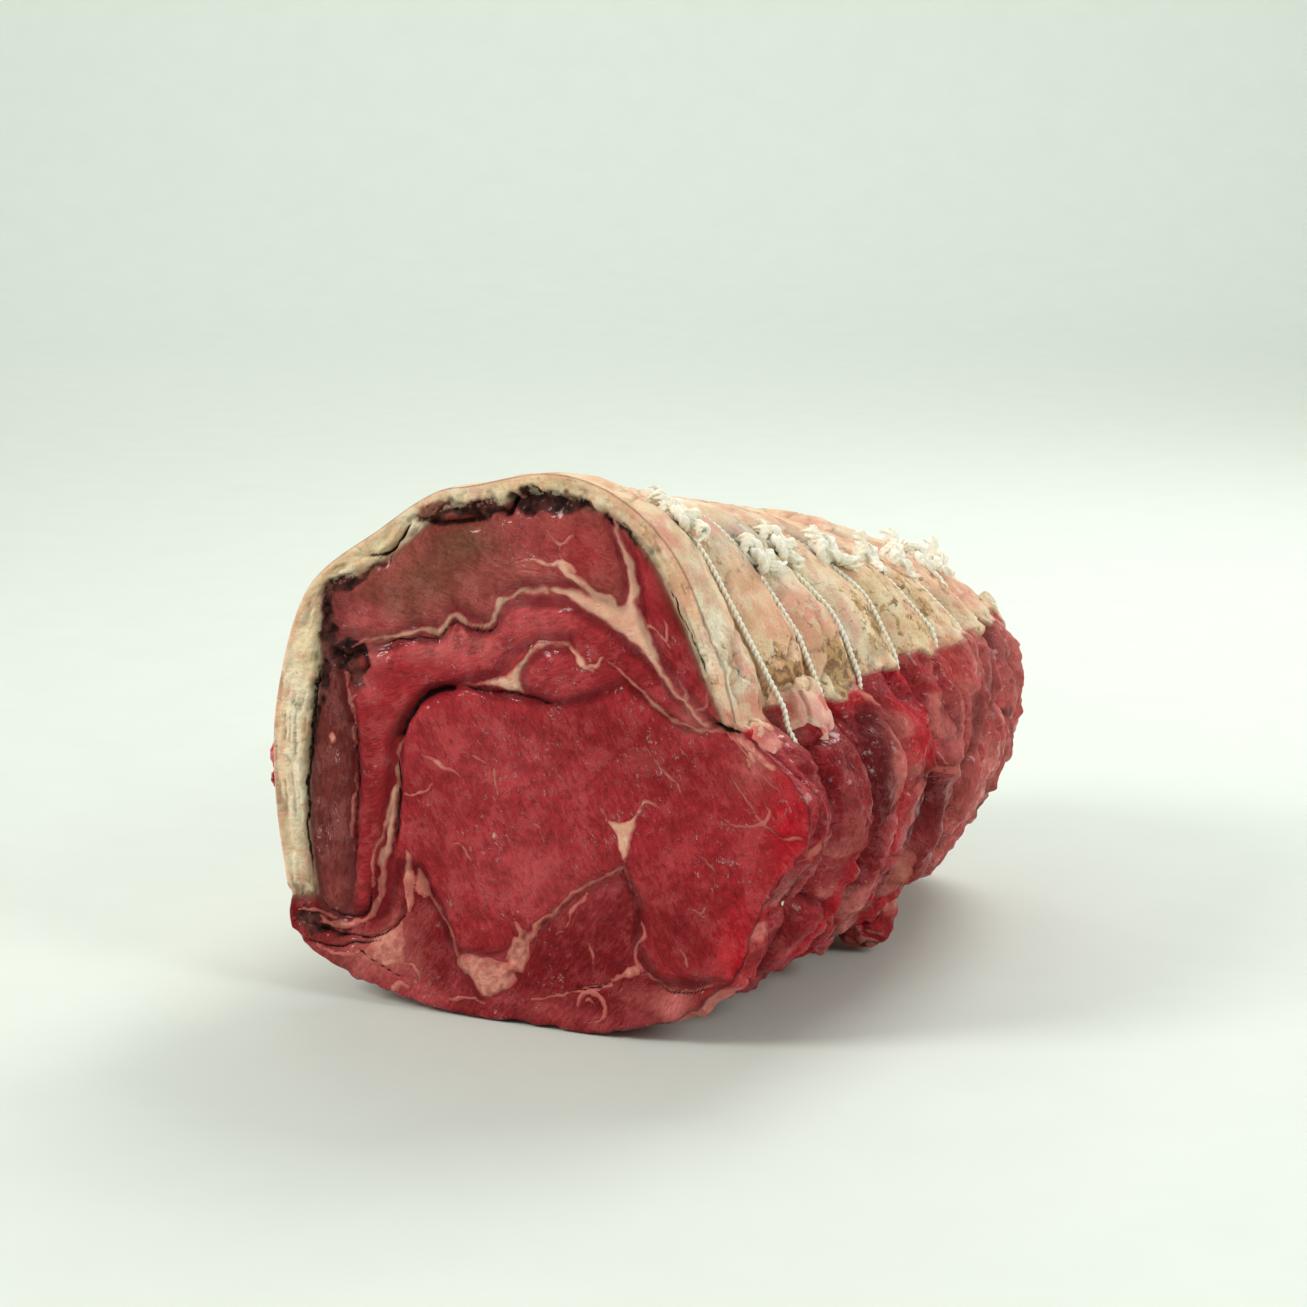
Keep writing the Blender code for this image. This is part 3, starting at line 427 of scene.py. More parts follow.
def section_look(p):
    """Fat, painted shade in the cracks, colour, height and grain at each point of the face section."""
    edge = {name: depth_in(p, ring, 6.0) for name, ring in REGIONS.items()}
    taken = np.max(list(edge.values()), axis=0)
    edge["rib_eye"] = -taken
    weight = np.stack([1 / (1 + np.exp(-np.clip(edge[n] / 0.5, -30, 30))) for n in names])
    weight /= weight.sum(0)
    shade = sum(w[:, None] * np.array(SHADES[n][0]) for w, n in zip(weight, names))
    bulge = sum(w * SHADES[n][2] * (1 - np.exp(-np.maximum(edge[n], 0) / 3.5))
                for w, n in zip(weight, names))
    wobble = p + 2 * drift(p, 7, 1)
    on_cover = ease((edge["fat_cover"] + 0.5) / 1.0)
    rel = p - CENTRE
    angle = np.arctan2(rel[:, 1], rel[:, 0])
    rind = np.interp(angle, RING_ANGLE, RING_RADIUS) - np.hypot(rel[:, 0], rel[:, 1])
    layers = np.stack([angle * 9 + 0.7 * lumps(p, 6, 12), rind * 1.1 + 0.5 * lumps(p, 5, 58)], 1)
    layer = lumps(layers, 1.5, 13)
    rim_groove = peak(lumps(layers * (0.8, 1), 1.9, 59), 0.13) * ease(lumps(p, 9, 60) * 2 + 0.8)
    for colour, mix in (("olive", ease(layer * 2 - 0.7) * 0.35), ("white", ease(-layer * 2 - 0.4) * 0.55),
                        ("peach", ease((2.2 - rind) / 1.6) * 0.7),
                        ("rose", ease(lumps(p, 5, 61) * 3 - 1.3) * 0.45),
                        ("brown", ease(lumps(p, 2.2, 14) * 3 - 1.7) * 0.4)):
        tint(shade, FAT[colour], mix * on_cover)
    for table, kinds, here in ((PATCHES, LEAN, 1 - on_cover), (FAT_PATCHES, FAT, on_cover)):
        for x, z, wide, high, colour, strength in table:
            away = spot(wobble, x, z, wide, high)
            tint(shade, kinds[colour], strength * np.exp(-away * 0.9) * here)
    # Painted shade in the grooves between the rim's layers
    shade *= (1 - 0.45 * rim_groove * on_cover)[:, None]
    crust = np.zeros(len(p))
    torn = p + 1.5 * drift(p, 4.2, 62) + 0.8 * drift(p, 1.7, 64)
    scab = np.clip(1 + 0.9 * lumps(p, 2.4, 66) + 0.6 * lumps(p, 1.1, 67), 0.25, 2.4)
    for ring, colour in CRUSTS:
        mix = ease((depth_in(torn, np.array(ring, float)) + 0.6) / 1.1)
        tint(shade, np.array(LEAN["dry"]) * colour * scab[:, None], mix)
        crust = np.maximum(crust, mix)
    fat = np.full(len(p), -4.0)
    frill = p + 0.55 * drift(p, 3.4, 15) + 0.3 * drift(p, 1.5, 17)
    width = 0.9 + 0.45 * lumps(p, 3.0, 19)
    for points, start, mid, end in FAT_LINES:
        line = spline(points, 1.0)
        box = ((p > line.min(0) - 4) & (p < line.max(0) + 4)).all(1)
        d, t = along(frill[box], line)
        half = np.interp(t, (0, 0.5, 1), (start, mid, end)) * width[box] * 1.15 + 0.08
        fat[box] = np.maximum(fat[box], half - d)
    for ring in FAT_SPOTS:
        fat = np.maximum(fat, depth_in(frill, np.array(ring, float), 4.0))
    crack_shade, dip = np.zeros(len(p)), np.zeros(len(p))
    jagged = 0.75 * p + 0.25 * torn
    # Painted shade along the cracks; dip sinks them in as well
    for points, wide, deep in CRACKS:
        line = spline(points, 1.0)
        box = ((p > line.min(0) - 5) & (p < line.max(0) + 5)).all(1)
        d, t = along(jagged[box], line)
        ends = ease(np.minimum(t, 1 - t) * 6) * 0.7 + 0.3
        crack_shade[box] = np.maximum(crack_shade[box], ends * peak(d, wide * 1.1))
        dip[box] = np.maximum(dip[box], deep * ends * peak(d, wide * 1.9))
    turned = np.zeros((len(p), 2))
    for w, n in zip(weight, names):
        a = math.radians(SHADES[n][1])
        turned += w[:, None] * np.stack([p[:, 0] * math.cos(a) + p[:, 1] * math.sin(a),
                                         -p[:, 0] * math.sin(a) + p[:, 1] * math.cos(a)], 1)
    grain = np.stack([turned[:, 0] / 1.8, turned[:, 1]], 1)
    height = bulge - 0.9 - dip
    height += 0.55 * ease((fat + 0.6) / 1.6) + 0.5 * ease((edge["fat_cover"] + 0.3) / 1.5)
    height += 0.6 * lumps(p, 17, 3) + 0.35 * lumps(p, 7.5, 4) + 0.12 * lumps(p, 3.3, 68)
    rough = (1 - 0.6 * ease((fat + 0.3) / 0.6)) * (1 - 0.5 * on_cover)
    bundle = peak(lumps(grain * (0.9, 1), 4.2, 20), 0.10)
    height += rough * (0.16 * lumps(grain, 1.9, 5) - 0.2 * bundle + 0.12 * lumps(p, 1.4, 6))
    height += on_cover * (0.55 * layer - 0.5 * rim_groove + 0.35 * lumps(p, 2.4, 21) + 0.2 * lumps(p, 1.2, 22))
    height += crust * (0.8 * lumps(p, 3, 7) + 0.45 * lumps(p, 1.3, 8) - 0.5)
    height += ease((edge["lower_fat"] + 0.3) / 1) * (0.5 * lumps(p, 2.6, 9) + 0.25 * lumps(p, 1.1, 10))
    cap_fold = peak(p[:, 1] - 108 - 0.25 * (p[:, 0] + 30), 7)
    cap_fold = cap_fold * ease((-p[:, 0] - 5) / 8) * ease((p[:, 0] + 58) / 8)
    pucker = np.stack([p[:, 0] + 1.5 * lumps(p, 5, 75), p[:, 1] * 0.4], 1)
    height += cap_fold * (0.4 * lumps(grain * (1.6, 1), 2.4, 11) + 1.3 * lumps(pucker, 3.4, 76))
    pink = np.maximum(ease((58 - p[:, 1]) / 26), ease((p[:, 0] - 48) / 8) * ease((100 - p[:, 1]) / 8))
    return {"fat": fat, "crack_shade": crack_shade, "shade": shade, "height": height, "grain": grain,
            "cover": edge["fat_cover"], "crust": crust, "pink": pink, "stain": np.zeros(len(p))}


# Outside of the joint: the fat cover above, the meat's ragged edge below.
# Each string draws the flesh in, so it swells between them, and the bare meat hangs in folds.
FAT_FROM, FAT_TO = 15.1, 207.9

# Patches on the fat: middle as angle and distance, half width, half length, colour, strength
SIDE_PATCHES = (
    (44, 30, 22, 13, "peach", 0.6), (40, 55, 20, 11, "cream", 0.5), (38, 5, 16, 7, "white", 0.85),
    (23, 8, 9, 9, "rose", 1.0), (58, 48, 8, 28, "grey", 0.75), (50, 98, 7, 18, "grey", 0.6),
    (34, 49, 7, 8, "rose", 0.8), (42, 76, 9, 8, "rose", 0.45), (30, 80, 9, 14, "cream", 0.8),
    (34, 104, 12, 16, "tan", 0.5), (34, 145, 14, 22, "peach", 0.7), (24, 176, 12, 20, "rose", 0.7),
    (44, 165, 10, 14, "cream", 0.7), (95, 60, 22, 30, "peach", 0.6), (120, 130, 20, 34, "peach", 0.6),
    (150, 40, 14, 22, "tan", 0.5), (165, 110, 18, 30, "rose", 0.5), (190, 70, 12, 26, "tan", 0.6),
    (196, 150, 12, 24, "tan", 0.6), (75, 170, 18, 20, "cream", 0.6), (44, 90, 10, 22, "cream", 0.6),
    (28, 66, 9, 6, "white", 0.9), (40, 70, 12, 10, "white", 0.4),
)

# Brown stained fat, mostly along the cover's lower edge: middle, half width, half length, strength
STAINS = (
    (22, 31, 9, 12, 0.85), (20, 57, 8, 9, 0.95), (26, 79, 9, 11, 0.6), (26, 106, 10, 18, 0.55),
    (35, 122, 10, 16, 0.4), (28, 152, 10, 12, 0.4), (62, 22, 12, 6, 0.35), (196, 52, 8, 16, 0.6),
    (186, 104, 12, 20, 0.45), (200, 160, 9, 18, 0.6), (130, 88, 10, 14, 0.3), (90, 150, 12, 12, 0.3),
)

# Long cracks in the fat, with painted shade in them: points as angle and distance, then width and depth
FAT_CRACKS = (
    (((29, 23), (27, 30), (30, 36), (28, 41)), 0.5, 1.0),
    (((47, 46), (44, 49), (46, 52)), 0.5, 0.9),
    (((24, 20), (20, 27), (22, 34)), 0.5, 0.8),
    (((17, 44), (22, 52), (19, 60)), 0.6, 1.0),
    (((36, 4), (28, 7), (24, 12), (18, 14)), 0.4, 0.8),
    (((33, 8), (27, 3), (21, 3)), 0.35, 0.6),
    (((58, 44), (52, 56), (54, 62)), 0.4, 0.6),
    (((52, 92), (44, 100), (46, 110)), 0.4, 0.6),
)


def side_look(angle, y):
    """The same things as section_look for the outside, with the push of each point from the plain form."""
    radius, _ = radius_at(y, angle)
    degrees = in_degrees(angle)
    place = np.stack([radius * np.cos(angle), y, radius * np.sin(angle)], 1)
    edge = np.radians(np.minimum(degrees - FAT_FROM, FAT_TO - degrees)) * radius
    edge = edge + 2.6 * lumps(place, 11, 21) * ease(y / 12) + 1.2 * lumps(place, 4, 22) * ease(y / 6)
    on_fat = ease((edge + 1.2) / 2.4)
    away = np.min(np.abs(y[:, None] - np.array(STRINGS)), axis=1)
    between = np.clip(away / 11, 0, 1)
    soft = ease(1 - np.abs(degrees + 8) / 40) * ease(y / 30)
    groove = peak(away, 2.3)
    around = np.stack([degrees * 1.35, y], 1)
    bend = np.stack([6 * lumps(place, 14, 23), 5 * lumps(place, 16, 24)], 1)
    fold = around + bend
    long_fold = lumps(fold * (0.45, 1.0), 9.5, 25)
    crease = peak(lumps(fold * (0.5, 1.0), 12, 26), 0.13)
    crossing = peak(lumps(fold * (1.0, 0.6), 15, 27), 0.10)
    thin = peak(lumps(fold * (0.5, 1.2), 5.5, 53), 0.12)
    calm = ease((place[:, 2] + CENTRE[1] - 1.5) / 10)
    swell = ease(between * 1.25)
    meat = (2.4 * swell - 1.2 - (2.4 + 4.0 * soft) * groove + 1.6 * soft * swell + 1.7 * long_fold
            - 2.3 * crease - 1.3 * crossing + 1.0 * lumps(fold, 5.5, 28) + 0.5 * lumps(place, 2.6, 29)
            - 0.6 * thin + 0.35 * lumps(fold * (1.6, 0.35), 2.2, 74))
    meat = meat * ease(y / 7) * (0.12 + 0.88 * calm) + 0.7 * lumps(place, 5, 37) * calm * ease(1 - y / 9)
    wrinkle = peak(lumps(around + 3 * lumps(place, 12, 31)[:, None], 16, 30), 0.06)
    hollow = 2.2 * peak(degrees - 42, 15) * ease(1 - np.abs(y - 66) / 34)
    crumb = lumps(place, 2.1, 36)
    fat = (1.7 * swell - 0.8 - 1.7 * groove + 0.9 * lumps(place, 21, 32) + 0.5 * lumps(place, 7, 33)
           + 0.22 * lumps(place, 2.6, 34) - 0.6 * wrinkle - hollow) * ease(y / 9)
    near_edge = peak(edge - 3, 5)
    crumbly = ease((48 - degrees) / 14) * ease((degrees - 19) / 8) * peak(y, 14)
    crumbly = crumbly + 0.7 * near_edge * ease(lumps(place, 14, 38) + 0.3) * ease((y - 14) / 8)
    fat = fat + near_edge * (0.9 * lumps(place, 4.2, 35) + 0.5) * ease(y / 5)
    fat = fat + crumbly * (1.1 * crumb + 0.8 * lumps(place, 4.6, 39)) * ease(y / 2 + 0.3)
    radiating = peak(lumps(np.stack([degrees * 1.2, y * 0.35], 1), 6, 71), 0.14)
    fat = fat - 0.5 * radiating * ease((y - 110) / 40)
    flat = np.stack([degrees * 1.2, y], 1) + 0.8 * drift(place, 3.5, 72)
    split_open = np.zeros(len(y))
    for points, wide, deep in FAT_CRACKS:
        line = spline(np.array(points, float) * (1.2, 1), 1.0)
        away_from = along(flat, line)[0]
        split_open = np.maximum(split_open, peak(away_from, wide))
        fat = fat - deep * peak(away_from / wide, 1.6)
    ragged = 1.1 * lumps(place, 7, 69) + 0.8 * lumps(place, 3.1, 70)
    ragged = ragged * ease(1 - y / 10) * ease(y / 0.8 + 0.4)
    meat = meat + np.where(calm > 0.5, ragged, np.minimum(ragged, 0) * 1.2 - 0.3 * ease(1 - y / 10))
    push = meat * (1 - on_fat) + fat * on_fat + 0.7 * peak(edge - 0.2, 1.4) * ease(y / 6)
    push = push - 2.6 * peak(degrees - 9, 6) * ease(1 - y / 7)
    push = push * (1 - 0.5 * ease((y - 190) / 22))
    lift = np.maximum(0, 0.1 - (place[:, 2] + CENTRE[1] + push * np.sin(angle)))

    shade = np.tile(np.array(LEAN["fresh"]), (len(y), 1))
    for colour, size, seed, low, high in (("deep", 12, 41, -0.1, 0.4), ("pale", 9, 42, 0.3, 0.7),
                                          ("bright", 9, 51, 0.1, 0.5), ("pink", 7, 43, 0.35, 0.7)):
        tint(shade, LEAN[colour], ease((lumps(fold * (0.55, 1.0), size, seed) - low) / (high - low)) * 0.85)
    low_down = ease((44 - place[:, 2] - CENTRE[1]) / 22)
    far_off = ease((y - 84) / 40)
    skin = ease(lumps(fold * (0.8, 0.8), 11, 54) * 2.6 - 0.2 + 0.6 * lumps(place, 3, 55)) * (1 - crease)
    skin = skin * np.clip(0.05 + 0.75 * low_down + 0.7 * far_off, 0, 0.9)
    tint(shade, LEAN["film"], 0.75 * skin)
    tint(shade, LEAN["pink"], 0.52 * far_off)
    tint(shade, LEAN["deep"], 0.8 * peak(degrees + 4, 15) * ease((y - 4) / 6) * ease((58 - y) / 14))
    tint(shade, LEAN["pink"], 0.75 * peak(degrees + 2, 10) * peak(y - 62, 7))
    # Painted shade: darker in the creases, the string grooves and the thin folds
    shade *= (1 - 0.42 * np.clip(crease + groove * 0.8 + 0.5 * thin, 0, 1))[:, None]
    cream = np.tile(np.array(FAT["cream"]), (len(y), 1))
    for colour, size, seed, low, high in (("white", 15, 44, 0.1, 0.7), ("peach", 17, 45, -0.1, 0.5),
                                          ("tan", 9, 46, 0.4, 0.8), ("rose", 6, 47, 0.35, 0.75)):
        tint(cream, FAT[colour], ease((lumps(place, size, seed) - low) / (high - low)) * 0.75)
    bent = np.stack([degrees, y], 1) + drift(place, 9, 48) * (4, 6)
    for at, far, wide, long, colour, strength in SIDE_PATCHES:
        tint(cream, FAT[colour], strength * np.exp(-spot(bent, at, far, wide, long)))
    for colour, mix in (("white", ease(crumbly * 1.6 - 0.1) * ease(crumb * 2 + 0.7) * 0.7),
                        ("tan", crumbly * ease(-crumb * 2 - 0.4) * 0.6),
                        ("rose", ease(lumps(bent * (0.5, 1.0), 6.0, 57) * 2.4 - 0.8) * 0.5)):
        tint(cream, FAT[colour], mix)
    stain = 0.25 * near_edge * ease((y - 14) / 12)
    for at, far, wide, long, strength in STAINS:
        stain = np.maximum(stain, strength * np.exp(-spot(bent, at, far, wide, long)))
    # Painted shade in the fat's wrinkles, cracks, string grooves and radiating grooves
    dark = 0.3 * wrinkle + 0.55 * split_open + 0.2 * groove + 0.3 * radiating * ease((y - 110) / 40)
    cream *= (1 - dark)[:, None]
    tint(shade, cream, on_fat)
    silver = lumps(fold * (0.7, 1.0), 6, 50) * 2.2 - 1.5 - 3 * crease
    # Painted shade: nearly black deep in the creases and string grooves of the bare meat
    crack_shade = np.clip(crease * 0.42 + groove * 0.3, 0, 1) * (1 - on_fat)
    return {"fat": np.where(edge < 0, np.minimum(silver, 1.0), -4.0), "crack_shade": crack_shade, "shade": shade,
            "grain": around, "cover": edge, "crust": np.zeros(len(y)), "pink": np.full(len(y), 0.9),
            "stain": stain, "push": push, "lift": lift}


# Mesh of the whole skin: a fine disc for the cut face, rows along the side, and a disc for the far end.
# It is cut into one piece for each muscle and fat seam, and each takes its solid's place.
RIM = 1.6
RIM_INSET = RIM * (1 - math.sqrt(0.5))
EYE_FROM = -44.5
CELLS = 280
FIELDS = ("fat", "crack_shade", "shade", "grain", "cover", "crust", "pink", "stain")
FRONT_RIM, BACK_RIM = 0.469, LENGTH - 1.0


def disc(cells):
    """Share of the radius and angle of a disc's points, its quads, and its edge from -45 degrees on."""
    t = np.linspace(-1, 1, cells + 1)
    u, v = np.meshgrid(t, t, indexing="ij")
    wide = np.abs(u) >= np.abs(v)
    span = np.where(wide, u, v)
    slope = np.where(wide, v, u) / np.where(span == 0, 1, span) * math.pi / 4
    x = span * np.where(wide, np.cos(slope), np.sin(slope))
    z = span * np.where(wide, np.sin(slope), np.cos(slope))
    grid = np.arange((cells + 1) ** 2).reshape(cells + 1, cells + 1)
    quads = np.stack([grid[:-1, :-1], grid[1:, :-1], grid[1:, 1:], grid[:-1, 1:]], -1).reshape(-1, 4)
    edge = np.concatenate([grid[-1, :-1], grid[:0:-1, -1], grid[0, :0:-1], grid[:-1, 0]])
    return np.abs(span).ravel(), np.arctan2(z, x).ravel(), quads, edge


def side_label(degrees):
    """The piece that shows on the outside at each angle."""
    fatty = (degrees > FAT_FROM) & (degrees < FAT_TO)
    eye_shows = (degrees > EYE_FROM) & (degrees <= FAT_FROM)
    below = np.where(eye_shows, names.index("rib_eye"), names.index("lower_muscle"))
    return np.where(fatty, names.index("fat_cover"), below)


def face_label(middles):
    """The piece that each spot of the face section belongs to."""
    inside = {name: depth_in(middles, ring, 6.0) for name, ring in REGIONS.items()}
    return np.argmax([inside.get(name, np.zeros(len(middles))) for name in names], axis=0)


def on_face(angle, reach):
    """Points of the face section at an angle and a distance from its centre."""
    return CENTRE + reach[:, None] * np.stack([np.cos(angle), np.sin(angle)], 1)


def rounded(depth):
    """How far the rounded rim stands back, at a depth from its edge."""
    return np.where(depth < RIM, RIM - np.sqrt(np.maximum(RIM ** 2 - (RIM - depth) ** 2, 0)), 0)


def split(quads):
    """Two triangles for each quad."""
    return np.concatenate([quads[:, [0, 1, 2]], quads[:, [0, 2, 3]]])


parts, faces, labels = [], [], []

# The cut face, rounded over at its rim
share, angle, quads, rim = disc(CELLS)
radius = np.interp(angle, RING_ANGLE, RING_RADIUS)
flat = on_face(angle, share * radius)
look = section_look(flat)
outer = ease((share - 0.88) / 0.12)
at_rim = side_look(angle, np.full(len(angle), FRONT_RIM))
inset = (1 - share) * radius + RIM_INSET
front = carry(flat, rounded(inset), outer * (at_rim["push"] - RIM_INSET))
front[:, 1] -= look["height"] * ease((inset - 0.6) / 3.0)
front[:, 2] += outer * at_rim["lift"]
parts.append((front, {k: look[k] for k in FIELDS}))
faces.append(split(quads))
labels.append(np.tile(face_label(flat[quads].mean(1)), 2))

# The side, in rows from the face back, with fine rows first
rows_fine = np.arange(1.0, 8.01, 0.7)
rows_coarse = np.arange(9.0, LENGTH - 0.4, 1.0)
columns = np.radians(-45 + np.arange(4 * CELLS) * 90 / CELLS)
start = len(front)
last = rim
for rows, count in ((rows_fine, 4 * CELLS), (rows_coarse, 2 * CELLS)):
    ang = columns[::4 * CELLS // count]
    yy, aa = np.meshgrid(rows, ang, indexing="ij")
    yy, aa = yy.ravel(), aa.ravel()
    look = side_look(aa, yy)
    outline = on_face(aa, np.interp(aa, RING_ANGLE, RING_RADIUS))
    points = carry(outline, yy, look["push"] - rounded(yy))
    points[:, 2] += look["lift"]
    parts.append((points, {k: look[k] for k in FIELDS}))
    grid = start + np.arange(len(points)).reshape(len(rows), count)
    if len(last) == count:
        grid = np.vstack([last, grid])
        tris = []
    else:
        a, b, c = last[0::2], last[1::2], np.roll(last, -2)[0::2]
        d, e = grid[0], np.roll(grid[0], -1)
        tris = [np.stack([a, d, b], 1), np.stack([b, d, e], 1), np.stack([b, e, c], 1)]
    near, far = grid[:-1], grid[1:]
    quads = np.stack([near, far, np.roll(far, -1, axis=1), np.roll(near, -1, axis=1)], -1).reshape(-1, 4)
    tris = np.concatenate(tris + [split(quads)])
    middles = np.concatenate([part[0] for part in parts])[tris].mean(1)
    faces.append(tris)
    labels.append(side_label(in_degrees(np.arctan2(middles[:, 2] - CENTRE[1], middles[:, 0]))))
    last = grid[-1]
    start += len(points)

# The far end, slightly domed
share, angle, quads, rim = disc(CELLS // 2)
radius = np.interp(angle, RING_ANGLE, RING_RADIUS)
flat = on_face(angle, share * radius)
look = section_look(flat)
at_rim = side_look(angle, np.full(len(angle), BACK_RIM))
outer = ease((share - 0.8) / 0.2)
end = carry(flat, np.full(len(flat), LENGTH - 0.8), outer * at_rim["push"])
end[:, 1] += 0.7 * look["height"] * ease((1 - share) / 0.08) + 3.0 * np.sqrt(np.maximum(1 - share ** 2, 0))
end[:, 2] += outer * at_rim["lift"]
parts.append((end, {k: look[k] for k in FIELDS}))
faces.append(split(quads[:, ::-1]) + start)
labels.append(np.tile(face_label(flat[quads].mean(1)), 2))
a, b = last, np.roll(last, -1)
c, d = rim + start, np.roll(rim + start, -1)
faces.append(np.concatenate([np.stack([a, c, d], 1), np.stack([a, d, b], 1)]))
labels.append(np.tile(side_label(in_degrees(columns[::2])), 2))

# All of it in metres, with the normals of the whole skin
points = np.concatenate([part[0] for part in parts]) / 1000
field = {k: np.concatenate([part[1][k] for part in parts]) for k in FIELDS}
faces, labels = np.concatenate(faces), np.concatenate(labels)
corner = points[faces]
facing = np.cross(corner[:, 1] - corner[:, 0], corner[:, 2] - corner[:, 0])
normal = np.stack([np.bincount(faces.ravel(), np.repeat(facing[:, k], 3), len(points))
                   for k in range(3)], 1)
normal /= np.maximum(np.linalg.norm(normal, axis=1), 1e-12)[:, None]


class Wire:
    """A value in a material. Sums on it add Math nodes."""

    def __init__(self, tree, socket):
        self.tree, self.socket = tree, socket

    def add(self, kind, settings=None, sockets=None, out=0):
        node = self.tree.nodes.new(kind)
        for name, value in (settings or {}).items():
            setattr(node, name, value)
        for name, value in (sockets or {}).items():
            if isinstance(value, Wire):
                self.tree.links.new(value.socket, node.inputs[name])
            elif isinstance(value, tuple) and len(value) == 3 and node.inputs[name].type == "RGBA":
                node.inputs[name].default_value = (*value, 1)
            else:
                node.inputs[name].default_value = value
        return Wire(self.tree, node.outputs[out] if len(node.outputs) else None)

    def sum(self, operation, a, b):
        return self.add("ShaderNodeMath", {"operation": operation}, {0: a, 1: b})

    def __add__(self, other):
        return self.sum("ADD", self, other)

    def __radd__(self, other):
        return self.sum("ADD", other, self)

    def __sub__(self, other):
        return self.sum("SUBTRACT", self, other)

    def __rsub__(self, other):
        return self.sum("SUBTRACT", other, self)

    def __mul__(self, other):
        return self.sum("MULTIPLY", self, other)

    def __rmul__(self, other):
        return self.sum("MULTIPLY", other, self)

    def __abs__(self):
        return self.add("ShaderNodeMath", {"operation": "ABSOLUTE"}, {0: self})

    def step(self, low, high):
        """0 up to low, 1 from high, smooth in between."""
        return self.add("ShaderNodeMapRange", {"interpolation_type": "SMOOTHSTEP"},
                        {0: self, 1: low, 2: high})

    def mix(self, a, b):
        """Colour a where this is 0 and b where it is 1."""
        return self.add("ShaderNodeMix", {"data_type": "RGBA"}, {0: self, 6: a, 7: b}, 2)

    def shade(self, colour):
        """Colour times this value."""
        grey = self.add("ShaderNodeCombineXYZ", None, {0: self, 1: self, 2: self})
        return self.add("ShaderNodeMix", {"data_type": "RGBA", "blend_type": "MULTIPLY"},
                        {0: 1.0, 6: colour, 7: grey}, 2)

    def noise(self, per_metre, detail=3.0, rough=0.55, stretch=(1, 1, 1)):
        """Random values round 0.5 on this place, with so many lumps to a metre."""
        place = self.add("ShaderNodeMapping", None, {"Vector": self, "Scale": stretch})
        return self.add("ShaderNodeTexNoise", None,
                        {"Vector": place, "Scale": per_metre, "Detail": detail, "Roughness": rough})


def material(name):
    """A new material, its shader, and the place of each spot on the piece."""
    made = bpy.data.materials.new(name)
    made.use_nodes = True
    tree = made.node_tree
    shader = tree.nodes["Principled BSDF"]
    place = Wire(tree, None).add("ShaderNodeTexCoord", out="Object")
    return made, shader, place


def plug(shader, **wires):
    """Joins values to the shader's inputs."""
    for name, wire in wires.items():
        wire.tree.links.new(wire.socket, shader.inputs[name.replace("_", " ")])


# Raw beef. Its skin keeps colours, fat lines, painted shade for cracks and creases, crusts and stains at
# each point, and the material adds fibres, marbling veins, painted glints, ragged edges to the fat, and a
# wet shine in patches.
beef, shader, place = material("raw_beef")
attr = {}
for name in ("shade", "marks", "grain", "more"):
    kind = "Color" if name == "shade" else "Vector"
    attr[name] = place.add("ShaderNodeAttribute", {"attribute_name": name}, None, kind)
marks = [place.add("ShaderNodeSeparateXYZ", None, {0: attr["marks"]}, k) for k in range(3)]
more = [place.add("ShaderNodeSeparateXYZ", None, {0: attr["more"]}, k) for k in range(3)]
fat_line, crack_shade, cover = marks
crust, pink, stain = more
fine = place.noise(1400, 4)
mid = place.noise(420, 4)
broad = place.noise(120, 3)
thread = attr["grain"].noise(1.3, 4, 0.6, (0.5, 1.3, 1))
mottle = attr["grain"].noise(0.75, 5, 0.62, (0.85, 1.15, 1))
is_line = (fat_line + (mid - 0.5) * 1.1 + (fine - 0.5) * 0.5).step(-0.22, 0.14)
is_cover = (cover + (mid - 0.5) * 2.4 + (fine - 0.5) * 0.9).step(-0.2, 0.25)
lean = (0.99 + (mottle - 0.5) * 0.9 + (thread - 0.5) * 0.45 + (mid - 0.5) * 0.6
        + (fine - 0.5) * 0.25 + (broad - 0.5) * 1.1).shade(attr["shade"])
vein = abs(broad * 0.5 + mottle - 0.76)
is_vein = (1 - vein.step(0.004, 0.024)) * (broad - 0.5).step(-0.02, 0.10) * (1 - crust)
lean = (is_vein * 0.4).mix(lean, (0.60, 0.15, 0.14))
# Painted glints: short pale strokes in clusters stand in for wet highlights on the lean, and they raise the
# bump too
glint_stroke = 1 - abs(attr["grain"].noise(0.42, 3, 0.6, (0.8, 1.2, 1)) - 0.5).step(0.010, 0.034)
here = (place.noise(60, 3) - 0.5).step(-0.02, 0.12)
painted_glint = glint_stroke * (place.noise(430, 2) - 0.5).step(0.05, 0.10) * (0.12 + 0.88 * here) * (1 - crust * 0.5)
lean = (painted_glint * 0.6).mix(lean, (0.74, 0.34, 0.33))
seam_fat = (broad * 0.6 + mid * 0.5).step(0.35, 0.75).mix((0.70, 0.34, 0.24), (0.80, 0.49, 0.34))
rosy_fat = (broad * 0.5 + mid * 0.6).step(0.40, 0.72).mix((0.46, 0.11, 0.09), (0.72, 0.31, 0.23))
seam_fat = pink.mix(seam_fat, rosy_fat)
edge_fat = fat_line.step(0.1, 1.1).mix((0.50, 0.12, 0.10), seam_fat)
blotch = place.noise(210, 5, 0.62)
outside_fat = (1.0 + (mid - 0.5) * 0.6 + (fine - 0.5) * 0.4).shade(attr["shade"])
outside_fat = ((blotch - 0.5).step(0.03, 0.09) * 0.40).mix(outside_fat, (0.62, 0.28, 0.19))
outside_fat = ((0.5 - blotch).step(0.03, 0.09) * 0.45).mix(outside_fat, (0.84, 0.72, 0.50))
wear = place.noise(95, 5, 0.6)
